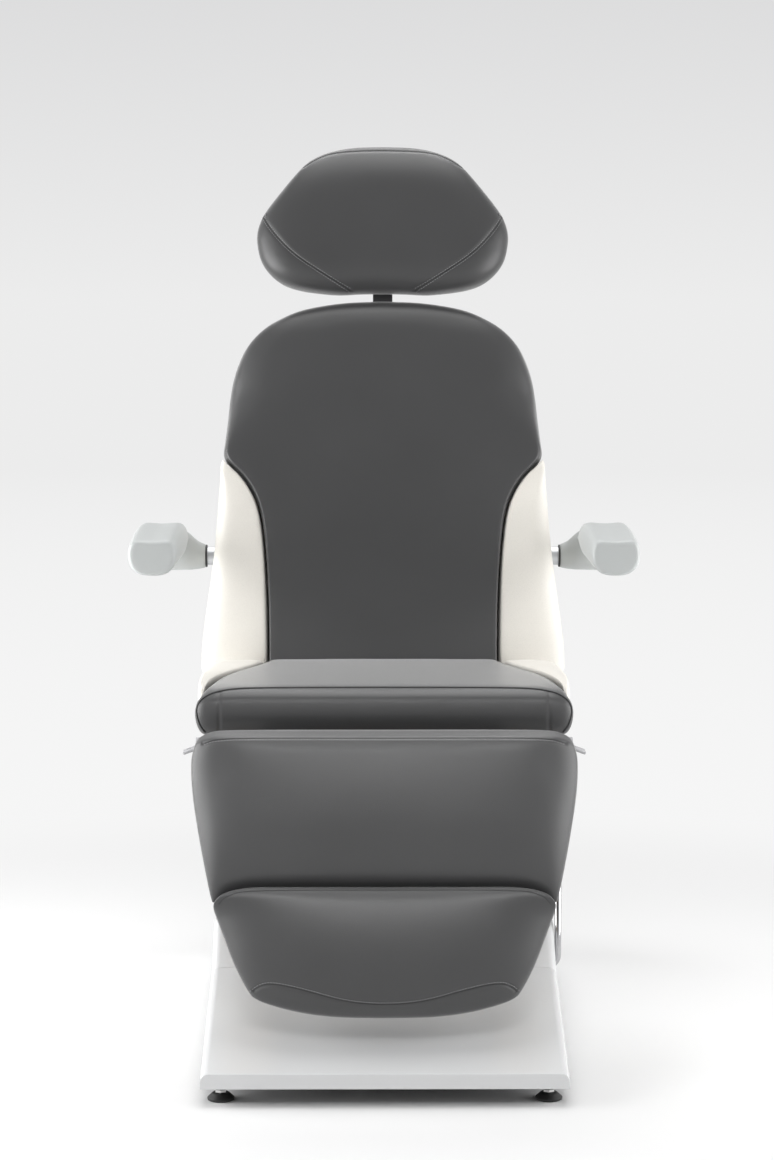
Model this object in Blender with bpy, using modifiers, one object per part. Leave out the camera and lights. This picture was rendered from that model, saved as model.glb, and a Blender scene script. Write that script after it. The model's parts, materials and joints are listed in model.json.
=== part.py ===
"""Treatment couch on a telescopic lifting column, in its sitting pose.

Metres, +Z up. X runs across the couch, -Y points out of the foot end, and the
origin lies on the floor under the middle of the base.
"""

import math

import bmesh
import bpy
from mathutils import Vector

# Fits
CLEAR = 0.0003  # between pieces that touch
RUN = 0.0006  # between pieces that slide or turn
YOKE_PLAY = 0.002  # play of a crank pin across its slot
SEAM_GAP = 0.002  # between two pads of one upholstered section
PANEL_GAP = 0.001  # at the panel line of the hoods

# Base
BASE_WIDTH = 0.594
BASE_LENGTH = 1.05
HOOD_BOTTOM = 0.031
SKIRT_TOP = 0.056
SLOPE_TOP = 0.147
SLOPE_END_Y = -0.19
HOOD_CREST = 0.215
REAR_SKIRT_TOP = 0.11
HOOD_WALL = 0.004
HOOD_EDGE = 0.012
PLATE_BOTTOM = 0.034
PLATE_THICKNESS = 0.012
FOOT_SIDE_INSET = 0.031
FOOT_END_INSET = 0.05
FOOT_RADIUS = 0.022
FOOT_TOP_RADIUS = 0.015
FOOT_PAD_HEIGHT = 0.0125
STUD_RADIUS = 0.005
NUT_RADIUS = 0.0105
NUT_HEIGHT = 0.007
CONTROL_BEHIND = 0.05  # control box behind the column
CONTROL_LENGTH = 0.20
CONTROL_HEIGHT = 0.07
BLOCK_EDGE = 0.002
INLET_WIDTH = 0.048
INLET_HEIGHT = 0.028
INLET_DEPTH = 0.03
INLET_Z = 0.066

# Lifting column
COLUMN_Y = 0.02
COLUMN_SIDE = 0.20
COLUMN_WALL = 0.006
COLUMN_TOP = 0.41
COLUMN_STEP = 0.02  # each stage stands this much above the one around it
SCREW_RADIUS = 0.009
NUT_PLATE = 0.03
HEAD_PLATE = 0.01
TILT_Z = 0.49
TILT_PIN_RADIUS = 0.008
TILT_EYE_RADIUS = 0.016
TILT_EAR_X = 0.06
TILT_EAR = 0.01
TILT_ARM = 0.135
TILT_RANGE = math.radians(15)
TILT_ROD_RADIUS = 0.008
TILT_BODY_RADIUS = 0.02
TILT_BODY_LENGTH = 0.12

# Upholstery and its frames
BOARD = 0.008
SEAT_TOP = 0.645
SEAT_THICKNESS = 0.0825
SEAT_FRONT = -0.28
SEAT_REAR = 0.135
SEAT_WIDTH = 0.63
SEAT_REAR_WIDTH = 0.656
SEAT_REAR_INNER = 0.432  # grey width where the seat meets the back
EYE_RADIUS = 0.0145  # hinge eyes, and half the depth of every frame rail
RAIL_WIDTH = 0.025
SHAFT_RADIUS = 0.009
SEAT_RAIL_X = 0.20
SEAT_LUG = 0.010
INNER_RAIL_X = 0.175
RAIL_FRONT = -0.20
RAIL_REAR = 0.09
CROSS_THICKNESS = 0.014
SEAT_PLAIN = 0.05  # full grey width behind the front edge
SEAT_NARROWING = 1.6
SEAT_CORNER_START = 0.15
SEAT_ROLL = 0.06
CREAM_DROP = 0.01  # cream pads lie this much lower than the grey ones
CREAM_CROWN = 0.006
CREAM_ROLL = 0.03
CUSHION_CROWN = 0.012
CUSHION_ROLL = 0.05

BACK_HINGE = (0.227, 0.56)
BACK_LEAN = math.radians(15)
BACK_RANGE = math.radians(75)
BACK_FACE = 0.085  # crown of the cushion in front of the hinge line
BACK_LOW = -0.03
BACK_ARCH_BASE = 0.497
BACK_TOP = 0.732
BACK_LOW_WIDTH = 0.67
BACK_ARCH_WIDTH = 0.582
BACK_ARCH_POWER = 2.3
PANEL_INNER_WIDTH = 0.428
PANEL_CURVE_LOW = 0.25
PANEL_TOP = 0.43
PANEL_SHORT = 0.03  # of the panel's tip, where it runs out to nothing
GUIDE_LOW = 0.56
GUIDE_HIGH = 0.66
SHELL_GAP = 0.0225  # inner face of the rear shell behind the hinge line
SHELL_THICKNESS = 0.012
SHELL_CROWN = 0.004

LEG_HINGE = (-0.32, 0.555)
LEG_LEAN = math.radians(12)
LEG_RANGE = math.radians(78)
LEG_FACE = 0.093
LEG_TOP = 0.005
LEG_LOW = -0.2345
LEG_TOP_WIDTH = 0.632
LEG_LOW_WIDTH = 0.556
FOOT_GAP = 0.004
FOOT_CORNER = -0.403
FOOT_END = -0.444
FOOT_END_WIDTH = 0.446
FOOT_EXTENSION = 0.10
FOOT_BAR = 0.020
FOOT_BAR_X = 0.145
GUIDE_BARS = (-0.165, -0.205)
GUIDE_BAR = 0.024
LEG_BULGE = 0.012

HEAD_FACE = 0.10
HEAD_LOW = 0.744
HEAD_WIDEST = 0.852
HEAD_TOP = 1.044
HEAD_WIDTH = 0.474
HEAD_LOW_POWER = 2.6
HEAD_TOP_POWER = 1.85
HEAD_SPREAD = 0.86
HEAD_CROWN = 0.014
HEAD_ROLL = 0.07
HEAD_HINGE = 0.84
HEAD_TRAVEL = 0.08
STEM_WIDTH = 0.037
STEM_DEPTH = 0.012
HEAD_EAR = 0.006

ARM_ALONG = 0.263  # armrest tube up the back, from the hinge
ARM_BEHIND = 0.004
ARM_TUBE_RADIUS = 0.017
ARM_HUB_RADIUS = 0.0225
ARM_HUB_X = 0.333
ARM_INNER_X = 0.349
ARM_WIDTH = 0.083
ARM_FRONT = -0.23
ARM_REAR_PAST = 0.034
ARM_TOP = 0.888
ARM_DEPTH = 0.06
ARM_TAPER = 0.12
ARM_CROWN = 0.004
ARM_ROLL = 0.04
COLLAR = 0.006
COLLAR_RADIUS = 0.021

# Drives and hand levers
CRANK_RADIUS = 0.06
CRANK_PLATE = 0.008
CRANK_EYE_RADIUS = 0.012
CRANK_PIN_RADIUS = 0.005
DRIVE_X = 0.125
DRIVE_RADIUS = 0.02
DRIVE_LENGTH = 0.17
DRIVE_ROD_RADIUS = 0.008
YOKE = 0.016
YOKE_WALL = 0.008
LEVER_RADIUS = 0.006
LEVER_X = 0.3045
LEVER_Y = -0.11
LEVER_Z = 0.13
LEVER_TOP = 0.40
LEVER_BEND = 0.018
BUSH_RADIUS = 0.012
TAB_X = 0.334
TAB_HUB_RADIUS = 0.014
TAB_HUB = 0.012
TAB_BLADE = 0.005
TAB_LENGTH = 0.032
TAB_SLANT = math.radians(20)

SMOOTH_ANGLE = math.radians(35)
LINK_STEPS = 6
FLAT_ANGLE = 0.01
WELD = 1e-5

FINISHES = {
    "gloss_plastic": ((0.60, 0.61, 0.62), 0.18, 0.0),
    "arm_plastic": ((0.60, 0.63, 0.62), 0.42, 0.0),
    "dark_plastic": ((0.03, 0.03, 0.03), 0.50, 0.0),
    "tab_plastic": ((0.25, 0.25, 0.26), 0.45, 0.0),
    "rubber": ((0.02, 0.02, 0.02), 0.80, 0.0),
    "painted_steel": ((0.10, 0.10, 0.11), 0.45, 0.3),
    "plated_steel": ((0.60, 0.60, 0.60), 0.30, 1.0),
    "chrome": ((0.80, 0.80, 0.80), 0.08, 1.0),
    "aluminium": ((0.66, 0.67, 0.68), 0.32, 1.0),
    "plywood": ((0.45, 0.31, 0.18), 0.70, 0.0),
    "grey_leather": ((0.09, 0.09, 0.095), 0.48, 0.0),
    "cream_leather": ((0.82, 0.79, 0.72), 0.50, 0.0),
}

BODY_NAME = "treatment_couch"


# Scene and shape helpers


def clear_scene():
    for obj in list(bpy.data.objects):
        bpy.data.objects.remove(obj, do_unlink=True)


def new_collection(name):
    made = bpy.data.collections.new(name)
    bpy.context.scene.collection.children.link(made)
    return made


clear_scene()
PARTS = new_collection(BODY_NAME)
TOOLS = new_collection("cutters")


def finish(name):
    """The material of that name, made on first use."""
    material = bpy.data.materials.get(name)
    if material:
        return material
    colour, roughness, metallic = FINISHES[name]
    material = bpy.data.materials.new(name)
    material.use_nodes = True
    shader = material.node_tree.nodes["Principled BSDF"]
    shader.inputs["Base Color"].default_value = (*colour, 1.0)
    shader.inputs["Roughness"].default_value = roughness
    shader.inputs["Metallic"].default_value = metallic
    return material


def mesh_of(bm, name):
    mesh = bpy.data.meshes.new(name)
    bm.to_mesh(mesh)
    bm.free()
    mesh.shade_smooth()
    mesh.set_sharp_from_angle(angle=SMOOTH_ANGLE)
    return mesh


def place(name, mesh, material, parent=None, at=(0, 0, 0)):
    obj = bpy.data.objects.new(name, mesh)
    obj.location = at
    obj.parent = parent
    mesh.materials.append(finish(material))
    PARTS.objects.link(obj)
    return obj


def pivot(name, at, lean=0.0, parent=None):
    """An empty on a joint's axis. A lean tips its Z towards +Y."""
    empty = bpy.data.objects.new(name, None)
    empty.location = at
    empty.rotation_euler = (-lean, 0, 0)
    empty.parent = parent
    PARTS.objects.link(empty)
    return empty


def break_edges(obj, width, segments=2):
    modifier = obj.modifiers.new("edges", "BEVEL")
    modifier.width = width
    modifier.segments = segments
    modifier.limit_method = "ANGLE"


def box(name, low, high, material, parent=None, edge=0.0):
    """A block between two opposite corners."""
    size = Vector(high) - Vector(low)
    bm = bmesh.new()
    bmesh.ops.create_cube(bm, size=1.0)
    bmesh.ops.scale(bm, vec=size, verts=bm.verts)
    middle = (Vector(high) + Vector(low)) / 2
    obj = place(name, mesh_of(bm, name), material, parent, middle)
    if edge:
        break_edges(obj, edge)
    return obj


def rod(name, radius, start, end, material, parent=None, sides=20, end_radius=None):
    """A round bar between two points, or a cone where end_radius is given."""
    axis = Vector(end) - Vector(start)
    bm = bmesh.new()
    bmesh.ops.create_cone(
        bm,
        cap_ends=True,
        segments=sides,
        radius1=radius,
        radius2=radius if end_radius is None else end_radius,
        depth=axis.length,
    )
    turn = Vector((0, 0, 1)).rotation_difference(axis).to_matrix()
    bmesh.ops.rotate(bm, verts=bm.verts, cent=(0, 0, 0), matrix=turn)
    middle = (Vector(start) + Vector(end)) / 2
    return place(name, mesh_of(bm, name), material, parent, middle)


def curve_mesh(name, curve):
    """The welded mesh of a curve."""
    guide = bpy.data.objects.new(name, curve)
    TOOLS.objects.link(guide)
    graph = bpy.context.evaluated_depsgraph_get()
    mesh = bpy.data.meshes.new_from_object(guide.evaluated_get(graph))
    bpy.data.objects.remove(guide)
    bm = bmesh.new()
    bm.from_mesh(mesh)
    bmesh.ops.remove_doubles(bm, verts=bm.verts, dist=WELD)
    return bm


def outline(name, points, x_low, x_high, material, parent=None):
    """A plate between two X planes, cut to an outline of (y, z) points."""
    curve = bpy.data.curves.new(name, "CURVE")
    curve.dimensions = "2D"
    curve.fill_mode = "BOTH"
    curve.extrude = (x_high - x_low) / 2
    spline = curve.splines.new("POLY")
    spline.points.add(len(points) - 1)
    for point, (y, z) in zip(spline.points, points):
        point.co = (y, z, 0, 1)
    spline.use_cyclic_u = True
    bm = curve_mesh(name, curve)
    bmesh.ops.dissolve_limit(bm, angle_limit=FLAT_ANGLE, verts=bm.verts, edges=bm.edges)
    middle = (x_low + x_high) / 2
    for vert in bm.verts:
        y, z, x = vert.co
        vert.co = (x + middle, y, z)
    return place(name, mesh_of(bm, name), material, parent)


def link(name, start, end, radius, x_low, x_high, material, parent=None):
    """A flat link with round ends about two (y, z) points."""
    along = math.atan2(end[1] - start[1], end[0] - start[0])
    points = []
    for centre, turn in ((end, along - math.pi / 2), (start, along + math.pi / 2)):
        for step in range(LINK_STEPS + 1):
            angle = turn + math.pi * step / LINK_STEPS
            y = centre[0] + radius * math.cos(angle)
            z = centre[1] + radius * math.sin(angle)
            points.append((y, z))
    return outline(name, points, x_low, x_high, material, parent)


def combine(target, operation, tools):
    for tool in tools:
        modifier = target.modifiers.new(tool.name, "BOOLEAN")
        modifier.operation = operation
        modifier.object = tool
        PARTS.objects.unlink(tool)
        TOOLS.objects.link(tool)
        tool.hide_render = True
        tool.display_type = "WIRE"
    return target


def join(target, *tools):
    return combine(target, "UNION", tools)


def cut(target, *tools):
    return combine(target, "DIFFERENCE", tools)


def mix(low, high, share):
    return low + (high - low) * share


def arch(x, half, power):
    """Height from 0 to 1 of a rounded arch over -half to half."""
    return max(1 - abs(x / half) ** power, 0.0) ** (1 / power)


def pad(name, plan, rear, face, crown, roll, cuts, material, parent):
    """A cushion: plan(a, c) gives its (x, z), the crowned face looks along -Y.

    Its edges roll in by the share roll, and the face falls back by crown there.
    """
    bm = bmesh.new()
    bmesh.ops.create_cube(bm, size=2.0)
    bmesh.ops.subdivide_edges(bm, edges=bm.edges, cuts=cuts, use_grid_fill=True)
    for vert in bm.verts:
        a, b, c = vert.co
        lift = (1 - b) / 2
        share = 1 - roll * lift**3
        x, z = plan(a * share, c * share)
        front = face - crown * (1 - (1 - a * a) * (1 - c * c))
        vert.co = (x, mix(-rear, -front, lift), z)
    if bm.calc_volume(signed=True) < 0:
        bmesh.ops.reverse_faces(bm, faces=bm.faces)
    obj = place(name, mesh_of(bm, name), material, parent)
    smooth = obj.modifiers.new("soft", "SUBSURF")
    smooth.levels = 1
    smooth.render_levels = 1
    return obj


# Base: plate, hoods, feet, side lever

PLATE_TOP = PLATE_BOTTOM + PLATE_THICKNESS
HALF_LENGTH = BASE_LENGTH / 2
FOOT_X = BASE_WIDTH / 2 - FOOT_SIDE_INSET
FOOT_Y = HALF_LENGTH - FOOT_END_INSET


def hood(name, points, open_y):
    """A thin shell of (y, z) outline, open below and at one end."""
    half = BASE_WIDTH / 2
    shell = outline(name, points, -half, half, "gloss_plastic")
    bm = bmesh.new()
    bm.from_mesh(shell.data)

    def is_open(face):
        middle = face.calc_center_median()
        below = abs(middle.z - HOOD_BOTTOM) < CLEAR
        return below or abs(middle.y - open_y) < CLEAR

    openings = [face for face in bm.faces if is_open(face)]
    bmesh.ops.delete(bm, geom=openings, context="FACES")
    bm.to_mesh(shell.data)
    bm.free()
    break_edges(shell, HOOD_EDGE, 3)
    wall = shell.modifiers.new("wall", "SOLIDIFY")
    wall.thickness = HOOD_WALL
    wall.offset = -1
    wall.use_even_offset = True
    return shell


def hoods():
    """The sloped front hood and the taller rear hood, which meet at a panel line."""
    joint = SLOPE_END_Y - PANEL_GAP / 2
    front = -HALF_LENGTH
    slope = (SLOPE_TOP - SKIRT_TOP) / (SLOPE_END_Y - front)
    hood(
        "front_hood",
        [(front, HOOD_BOTTOM), (joint, HOOD_BOTTOM), (joint, SLOPE_TOP), (front, SKIRT_TOP)],
        joint,
    )
    start = SLOPE_END_Y + PANEL_GAP / 2
    rise_end = COLUMN_Y - COLUMN_SIDE / 2 - 2 * HOOD_EDGE
    crest_end = HALF_LENGTH - 2 * COLUMN_SIDE / 3
    shell = hood(
        "rear_hood",
        [
            (start, HOOD_BOTTOM),
            (HALF_LENGTH, HOOD_BOTTOM),
            (HALF_LENGTH, REAR_SKIRT_TOP),
            (crest_end, HOOD_CREST),
            (rise_end, HOOD_CREST),
            (start, SLOPE_TOP + slope * PANEL_GAP),
        ],
        start,
    )
    half_well = COLUMN_SIDE / 2 + CLEAR
    inlet_low, inlet_high = inlet_corners(CLEAR)
    cut(
        shell,
        box(
            "column_well",
            (-half_well, COLUMN_Y - half_well, PLATE_TOP),
            (half_well, COLUMN_Y + half_well, HOOD_CREST + HOOD_EDGE),
            "gloss_plastic",
        ),
        box("inlet_hole", inlet_low, inlet_high, "gloss_plastic"),
        rod(
            "bush_hole",
            BUSH_RADIUS + CLEAR,
            (LEVER_X - 4 * BUSH_RADIUS, LEVER_Y, LEVER_Z),
            (LEVER_X + BUSH_RADIUS, LEVER_Y, LEVER_Z),
            "gloss_plastic",
        ),
    )


def inlet_corners(gap):
    """Corners of the power inlet's body, let into the rear skirt."""
    half = INLET_WIDTH / 2 + gap
    low = (-half, HALF_LENGTH - INLET_DEPTH, INLET_Z - INLET_HEIGHT / 2 - gap)
    high = (half, HALF_LENGTH + gap, INLET_Z + INLET_HEIGHT / 2 + gap)
    return low, high


def power_inlet():
    low, high = inlet_corners(0.0)
    body = box("power_inlet", low, high, "dark_plastic")
    rim = HOOD_WALL
    socket_low = (low[0] + rim, high[1] - 2 * INLET_DEPTH / 3, low[2] + rim)
    socket_high = (high[0] - rim, high[1] + rim, high[2] - rim)
    cut(body, box("inlet_socket", socket_low, socket_high, "dark_plastic"))


def base_plate():
    half_x = BASE_WIDTH / 2 - HOOD_WALL - CLEAR
    half_y = HALF_LENGTH - HOOD_WALL - HOOD_EDGE
    low = (-half_x, -half_y, PLATE_BOTTOM)
    box("base_frame", low, (half_x, half_y, PLATE_TOP), "painted_steel", edge=BLOCK_EDGE)
    floor = PLATE_TOP + CLEAR
    front = COLUMN_Y + COLUMN_SIDE / 2 + CONTROL_BEHIND
    box(
        "control_box",
        (-COLUMN_SIDE / 2, front, floor),
        (COLUMN_SIDE / 2, front + CONTROL_LENGTH, floor + CONTROL_HEIGHT),
        "dark_plastic",
        edge=2 * BLOCK_EDGE,
    )


def feet():
    """Four levelling feet: a rubber pad, and a plated stud with its jam nut."""
    for end, side_y in (("front", -FOOT_Y), ("rear", FOOT_Y)):
        for side, side_x in (("left", -FOOT_X), ("right", FOOT_X)):
            name = f"{end}_{side}"
            rod(
                "foot_rubber_" + name,
                FOOT_RADIUS,
                (side_x, side_y, 0),
                (side_x, side_y, FOOT_PAD_HEIGHT),
                "rubber",
                sides=32,
                end_radius=FOOT_TOP_RADIUS,
            )
            stud_low = FOOT_PAD_HEIGHT + CLEAR
            stud_high = PLATE_BOTTOM - CLEAR
            stud = rod(
                "foot_stud_" + name,
                STUD_RADIUS,
                (side_x, side_y, stud_low),
                (side_x, side_y, stud_high),
                "plated_steel",
                sides=16,
            )
            nut_low = stud_high - NUT_HEIGHT - CLEAR
            join(stud, rod(
                "jam_nut_" + name,
                NUT_RADIUS,
                (side_x, side_y, nut_low),
                (side_x, side_y, nut_low + NUT_HEIGHT),
                "plated_steel",
                sides=6,
            ))


def side_lever():
    """The bent chrome lever, its bush, and the pivot along its lower arm."""
    axis = pivot("side_lever_pivot", (LEVER_X, LEVER_Y, LEVER_Z))
    inner_end = -LEVER_X + BASE_WIDTH / 2 - 3 * BUSH_RADIUS
    curve = bpy.data.curves.new("side_lever", "CURVE")
    curve.dimensions = "3D"
    curve.bevel_depth = LEVER_RADIUS
    curve.bevel_resolution = 3
    curve.use_fill_caps = True
    points = [(inner_end, 0, 0)]
    for step in range(LINK_STEPS + 1):
        angle = math.pi / 2 * step / LINK_STEPS
        x = -LEVER_BEND + LEVER_BEND * math.sin(angle)
        points.append((x, 0, LEVER_BEND - LEVER_BEND * math.cos(angle)))
    points.append((0, 0, LEVER_TOP - LEVER_Z))
    spline = curve.splines.new("POLY")
    spline.points.add(len(points) - 1)
    for point, place_at in zip(spline.points, points):
        point.co = (*place_at, 1)
    place("side_lever", mesh_of(curve_mesh("side_lever", curve), "side_lever"), "chrome", axis)
    face = BASE_WIDTH / 2
    bush = rod(
        "lever_bush",
        BUSH_RADIUS,
        (face - 2 * BUSH_RADIUS, LEVER_Y, LEVER_Z),
        (LEVER_X - LEVER_BEND, LEVER_Y, LEVER_Z),
        "dark_plastic",
    )
    cut(bush, rod(
        "lever_bore",
        LEVER_RADIUS + RUN,
        (face - 4 * BUSH_RADIUS, LEVER_Y, LEVER_Z),
        (LEVER_X, LEVER_Y, LEVER_Z),
        "dark_plastic",
    ))


# Lifting column

STAGE_INSET = COLUMN_WALL + RUN
MIDDLE_TOP = COLUMN_TOP + COLUMN_STEP
INNER_TOP = MIDDLE_TOP + COLUMN_STEP
HEAD_LOW_Z = INNER_TOP + CLEAR
HEAD_HIGH_Z = HEAD_LOW_Z + HEAD_PLATE


def tube_stage(name, inset, low, high, material, parent=None):
    """One square tube of the column, inset from the outer one."""
    half = COLUMN_SIDE / 2 - inset
    core = half - COLUMN_WALL
    y = COLUMN_Y
    stage = box(name, (-half, y - half, low), (half, y + half, high), material, parent)
    hollow_low = (-core, y - core, low - COLUMN_WALL)
    hollow_high = (core, y + core, high + COLUMN_WALL)
    return cut(stage, box(name + "_bore", hollow_low, hollow_high, material, parent))


def column():
    floor = PLATE_TOP + CLEAR
    tube_stage("column_outer", 0.0, floor, COLUMN_TOP, "painted_steel")
    middle_low = floor + COLUMN_STEP
    tube_stage("column_middle", STAGE_INSET, middle_low, MIDDLE_TOP, "aluminium")
    inner_low = middle_low + COLUMN_STEP
    tube_stage("column_inner", 2 * STAGE_INSET, inner_low, INNER_TOP, "aluminium")
    half = COLUMN_SIDE / 2 - 2 * STAGE_INSET - COLUMN_WALL - CLEAR
    nut = box(
        "lift_nut",
        (-half, COLUMN_Y - half, inner_low),
        (half, COLUMN_Y + half, inner_low + NUT_PLATE),
        "painted_steel",
    )
    cut(nut, rod(
        "lift_nut_bore",
        SCREW_RADIUS + RUN,
        (0, COLUMN_Y, inner_low - NUT_PLATE),
        (0, COLUMN_Y, inner_low + 2 * NUT_PLATE),
        "painted_steel",
    ))
    screw_ends = ((0, COLUMN_Y, floor), (0, COLUMN_Y, COLUMN_TOP))
    rod("lift_screw", SCREW_RADIUS, *screw_ends, "plated_steel")
    wall_y = COLUMN_Y - COLUMN_SIDE / 2 - CLEAR
    motor_radius = COLUMN_SIDE / 7
    motor_z = floor + motor_radius
    rod(
        "lift_motor",
        motor_radius,
        (0, wall_y - COLUMN_SIDE / 2, motor_z),
        (0, wall_y, motor_z),
        "painted_steel",
    )


def ears(name, x_list, width, material, low, high, radius, parent=None):
    """Plates of one width at each X, round at both (y, z) ends."""
    return [
        link(f"{name}_{index}", low, high, radius, x - width / 2, x + width / 2, material, parent)
        for index, x in enumerate(x_list)
    ]


def tilt_head():
    """Column head with its tilt ears, the tilt pin, and the tilt actuator."""
    half = COLUMN_SIDE / 2 - 2 * STAGE_INSET
    push_y = COLUMN_Y - TILT_ARM
    front = push_y - TILT_BODY_RADIUS
    head = box(
        "column_head",
        (-half, front, HEAD_LOW_Z),
        (half, COLUMN_Y + half, HEAD_HIGH_Z),
        "painted_steel",
    )
    root = (COLUMN_Y, HEAD_LOW_Z + HEAD_PLATE / 2 + TILT_EYE_RADIUS)
    axis = (COLUMN_Y, TILT_Z)
    join(head, *ears(
        "tilt_ear", (-TILT_EAR_X, TILT_EAR_X), TILT_EAR, "painted_steel", root, axis, TILT_EYE_RADIUS
    ))
    reach = TILT_EAR_X + 2 * TILT_EAR
    pin_ends = ((-reach, COLUMN_Y, TILT_Z), (reach, COLUMN_Y, TILT_Z))
    rod("tilt_pin", TILT_PIN_RADIUS, *pin_ends, "plated_steel")
    bore_ends = ((-2 * reach, COLUMN_Y, TILT_Z), (2 * reach, COLUMN_Y, TILT_Z))
    guide_low = HEAD_LOW_Z - TILT_BODY_LENGTH
    rod_low = guide_low + TILT_BODY_LENGTH / 3
    cut(
        head,
        rod("tilt_ear_bore", TILT_PIN_RADIUS + CLEAR, *bore_ends, "plated_steel"),
        rod(
            "tilt_rod_hole",
            TILT_ROD_RADIUS + RUN,
            (0, push_y, rod_low),
            (0, push_y, TILT_Z),
            "plated_steel",
        ),
    )
    body = rod(
        "tilt_actuator",
        TILT_BODY_RADIUS,
        (0, push_y, guide_low),
        (0, push_y, HEAD_LOW_Z - CLEAR),
        "painted_steel",
    )
    cut(body, rod(
        "tilt_actuator_bore",
        TILT_ROD_RADIUS + RUN,
        (0, push_y, rod_low - RUN),
        (0, push_y, TILT_Z),
        "painted_steel",
    ))
    push = rod(
        "tilt_rod",
        TILT_ROD_RADIUS,
        (0, push_y, rod_low),
        (0, push_y, TILT_Z + TILT_ROD_RADIUS),
        "plated_steel",
    )
    join(push, rod(
        "tilt_rod_pin",
        CRANK_PIN_RADIUS,
        (0, push_y, TILT_Z),
        (TILT_ROD_RADIUS + 2 * TILT_EAR, push_y, TILT_Z),
        "plated_steel",
        sides=16,
    ))


# Seat: frame, shafts, drives, board and cushions

SEAT_CUSHION_LOW = SEAT_TOP - SEAT_THICKNESS
SEAT_BOARD_HIGH = SEAT_CUSHION_LOW - CLEAR
SEAT_RAIL_TOP = SEAT_BOARD_HIGH - BOARD - CLEAR
SEAT_RAIL_MID = SEAT_RAIL_TOP - EYE_RADIUS
CROSS_LOW = SEAT_RAIL_MID - CROSS_THICKNESS
BACK_KNEE = (
    BACK_HINGE[0] - 4 * EYE_RADIUS * math.sin(BACK_LEAN),
    BACK_HINGE[1] - 4 * EYE_RADIUS * math.cos(BACK_LEAN),
)


def shaft_bore(name, hinge, gap):
    reach = SEAT_WIDTH
    ends = ((-reach, *hinge), (reach, *hinge))
    return rod(name, SHAFT_RADIUS + gap, *ends, "plated_steel")


def seat_frame():
    """Two rails with hinge lugs at both ends, a cross plate and the tilt lugs."""
    half = SEAT_RAIL_X + SEAT_LUG / 2
    frame = box(
        "seat_frame",
        (-half, COLUMN_Y - TILT_ARM - TILT_BODY_RADIUS, CROSS_LOW),
        (half, RAIL_REAR, SEAT_RAIL_MID),
        "painted_steel",
    )
    sides = (-SEAT_RAIL_X, SEAT_RAIL_X)
    front_end = (RAIL_FRONT, SEAT_RAIL_MID)
    rear_end = (RAIL_REAR, SEAT_RAIL_MID)
    runs = (
        ("seat_rail", front_end, rear_end),
        ("leg_lug", front_end, LEG_HINGE),
        ("back_lug", rear_end, BACK_KNEE),
        ("back_lug_end", BACK_KNEE, BACK_HINGE),
    )
    for name, start, end in runs:
        join(frame, *ears(name, sides, SEAT_LUG, "painted_steel", start, end, EYE_RADIUS))
    tilt_x = TILT_EAR_X + TILT_EAR + RUN
    lug_top = (COLUMN_Y, SEAT_RAIL_MID - TILT_EYE_RADIUS)
    lug_low = (COLUMN_Y, TILT_Z)
    join(frame, *ears(
        "tilt_lug", (-tilt_x, tilt_x), TILT_EAR, "painted_steel", lug_low, lug_top, TILT_EYE_RADIUS
    ))
    push_y = COLUMN_Y - TILT_ARM
    push_x = TILT_ROD_RADIUS + RUN + TILT_EAR / 2
    join(frame, *ears(
        "push_lug",
        (push_x,),
        TILT_EAR,
        "painted_steel",
        (push_y, TILT_Z),
        (push_y, SEAT_RAIL_MID - TILT_EYE_RADIUS),
        TILT_EYE_RADIUS,
    ))
    reach = TILT_ARM * (1 - math.cos(TILT_RANGE))
    pin_ends = ((-half, COLUMN_Y, TILT_Z), (half, COLUMN_Y, TILT_Z))
    cut(
        frame,
        shaft_bore("leg_shaft_hole", LEG_HINGE, CLEAR),
        shaft_bore("back_shaft_hole", BACK_HINGE, CLEAR),
        rod("tilt_lug_bore", TILT_PIN_RADIUS + RUN, *pin_ends, "painted_steel"),
        link(
            "push_slot",
            (push_y - reach, TILT_Z),
            (push_y, TILT_Z),
            CRANK_PIN_RADIUS + YOKE_PLAY,
            push_x - TILT_EAR,
            push_x + TILT_EAR,
            "painted_steel",
        ),
    )


def shafts():
    """The two hinge shafts, held by the seat frame."""
    back_reach = SEAT_RAIL_X + SEAT_LUG
    leg_reach = SEAT_WIDTH / 2 - TAB_HUB / 4
    for name, hinge, reach in (
        ("back_hinge_shaft", BACK_HINGE, back_reach),
        ("leg_hinge_shaft", LEG_HINGE, leg_reach),
    ):
        rod(name, SHAFT_RADIUS, (-reach, *hinge), (reach, *hinge), "plated_steel")


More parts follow.
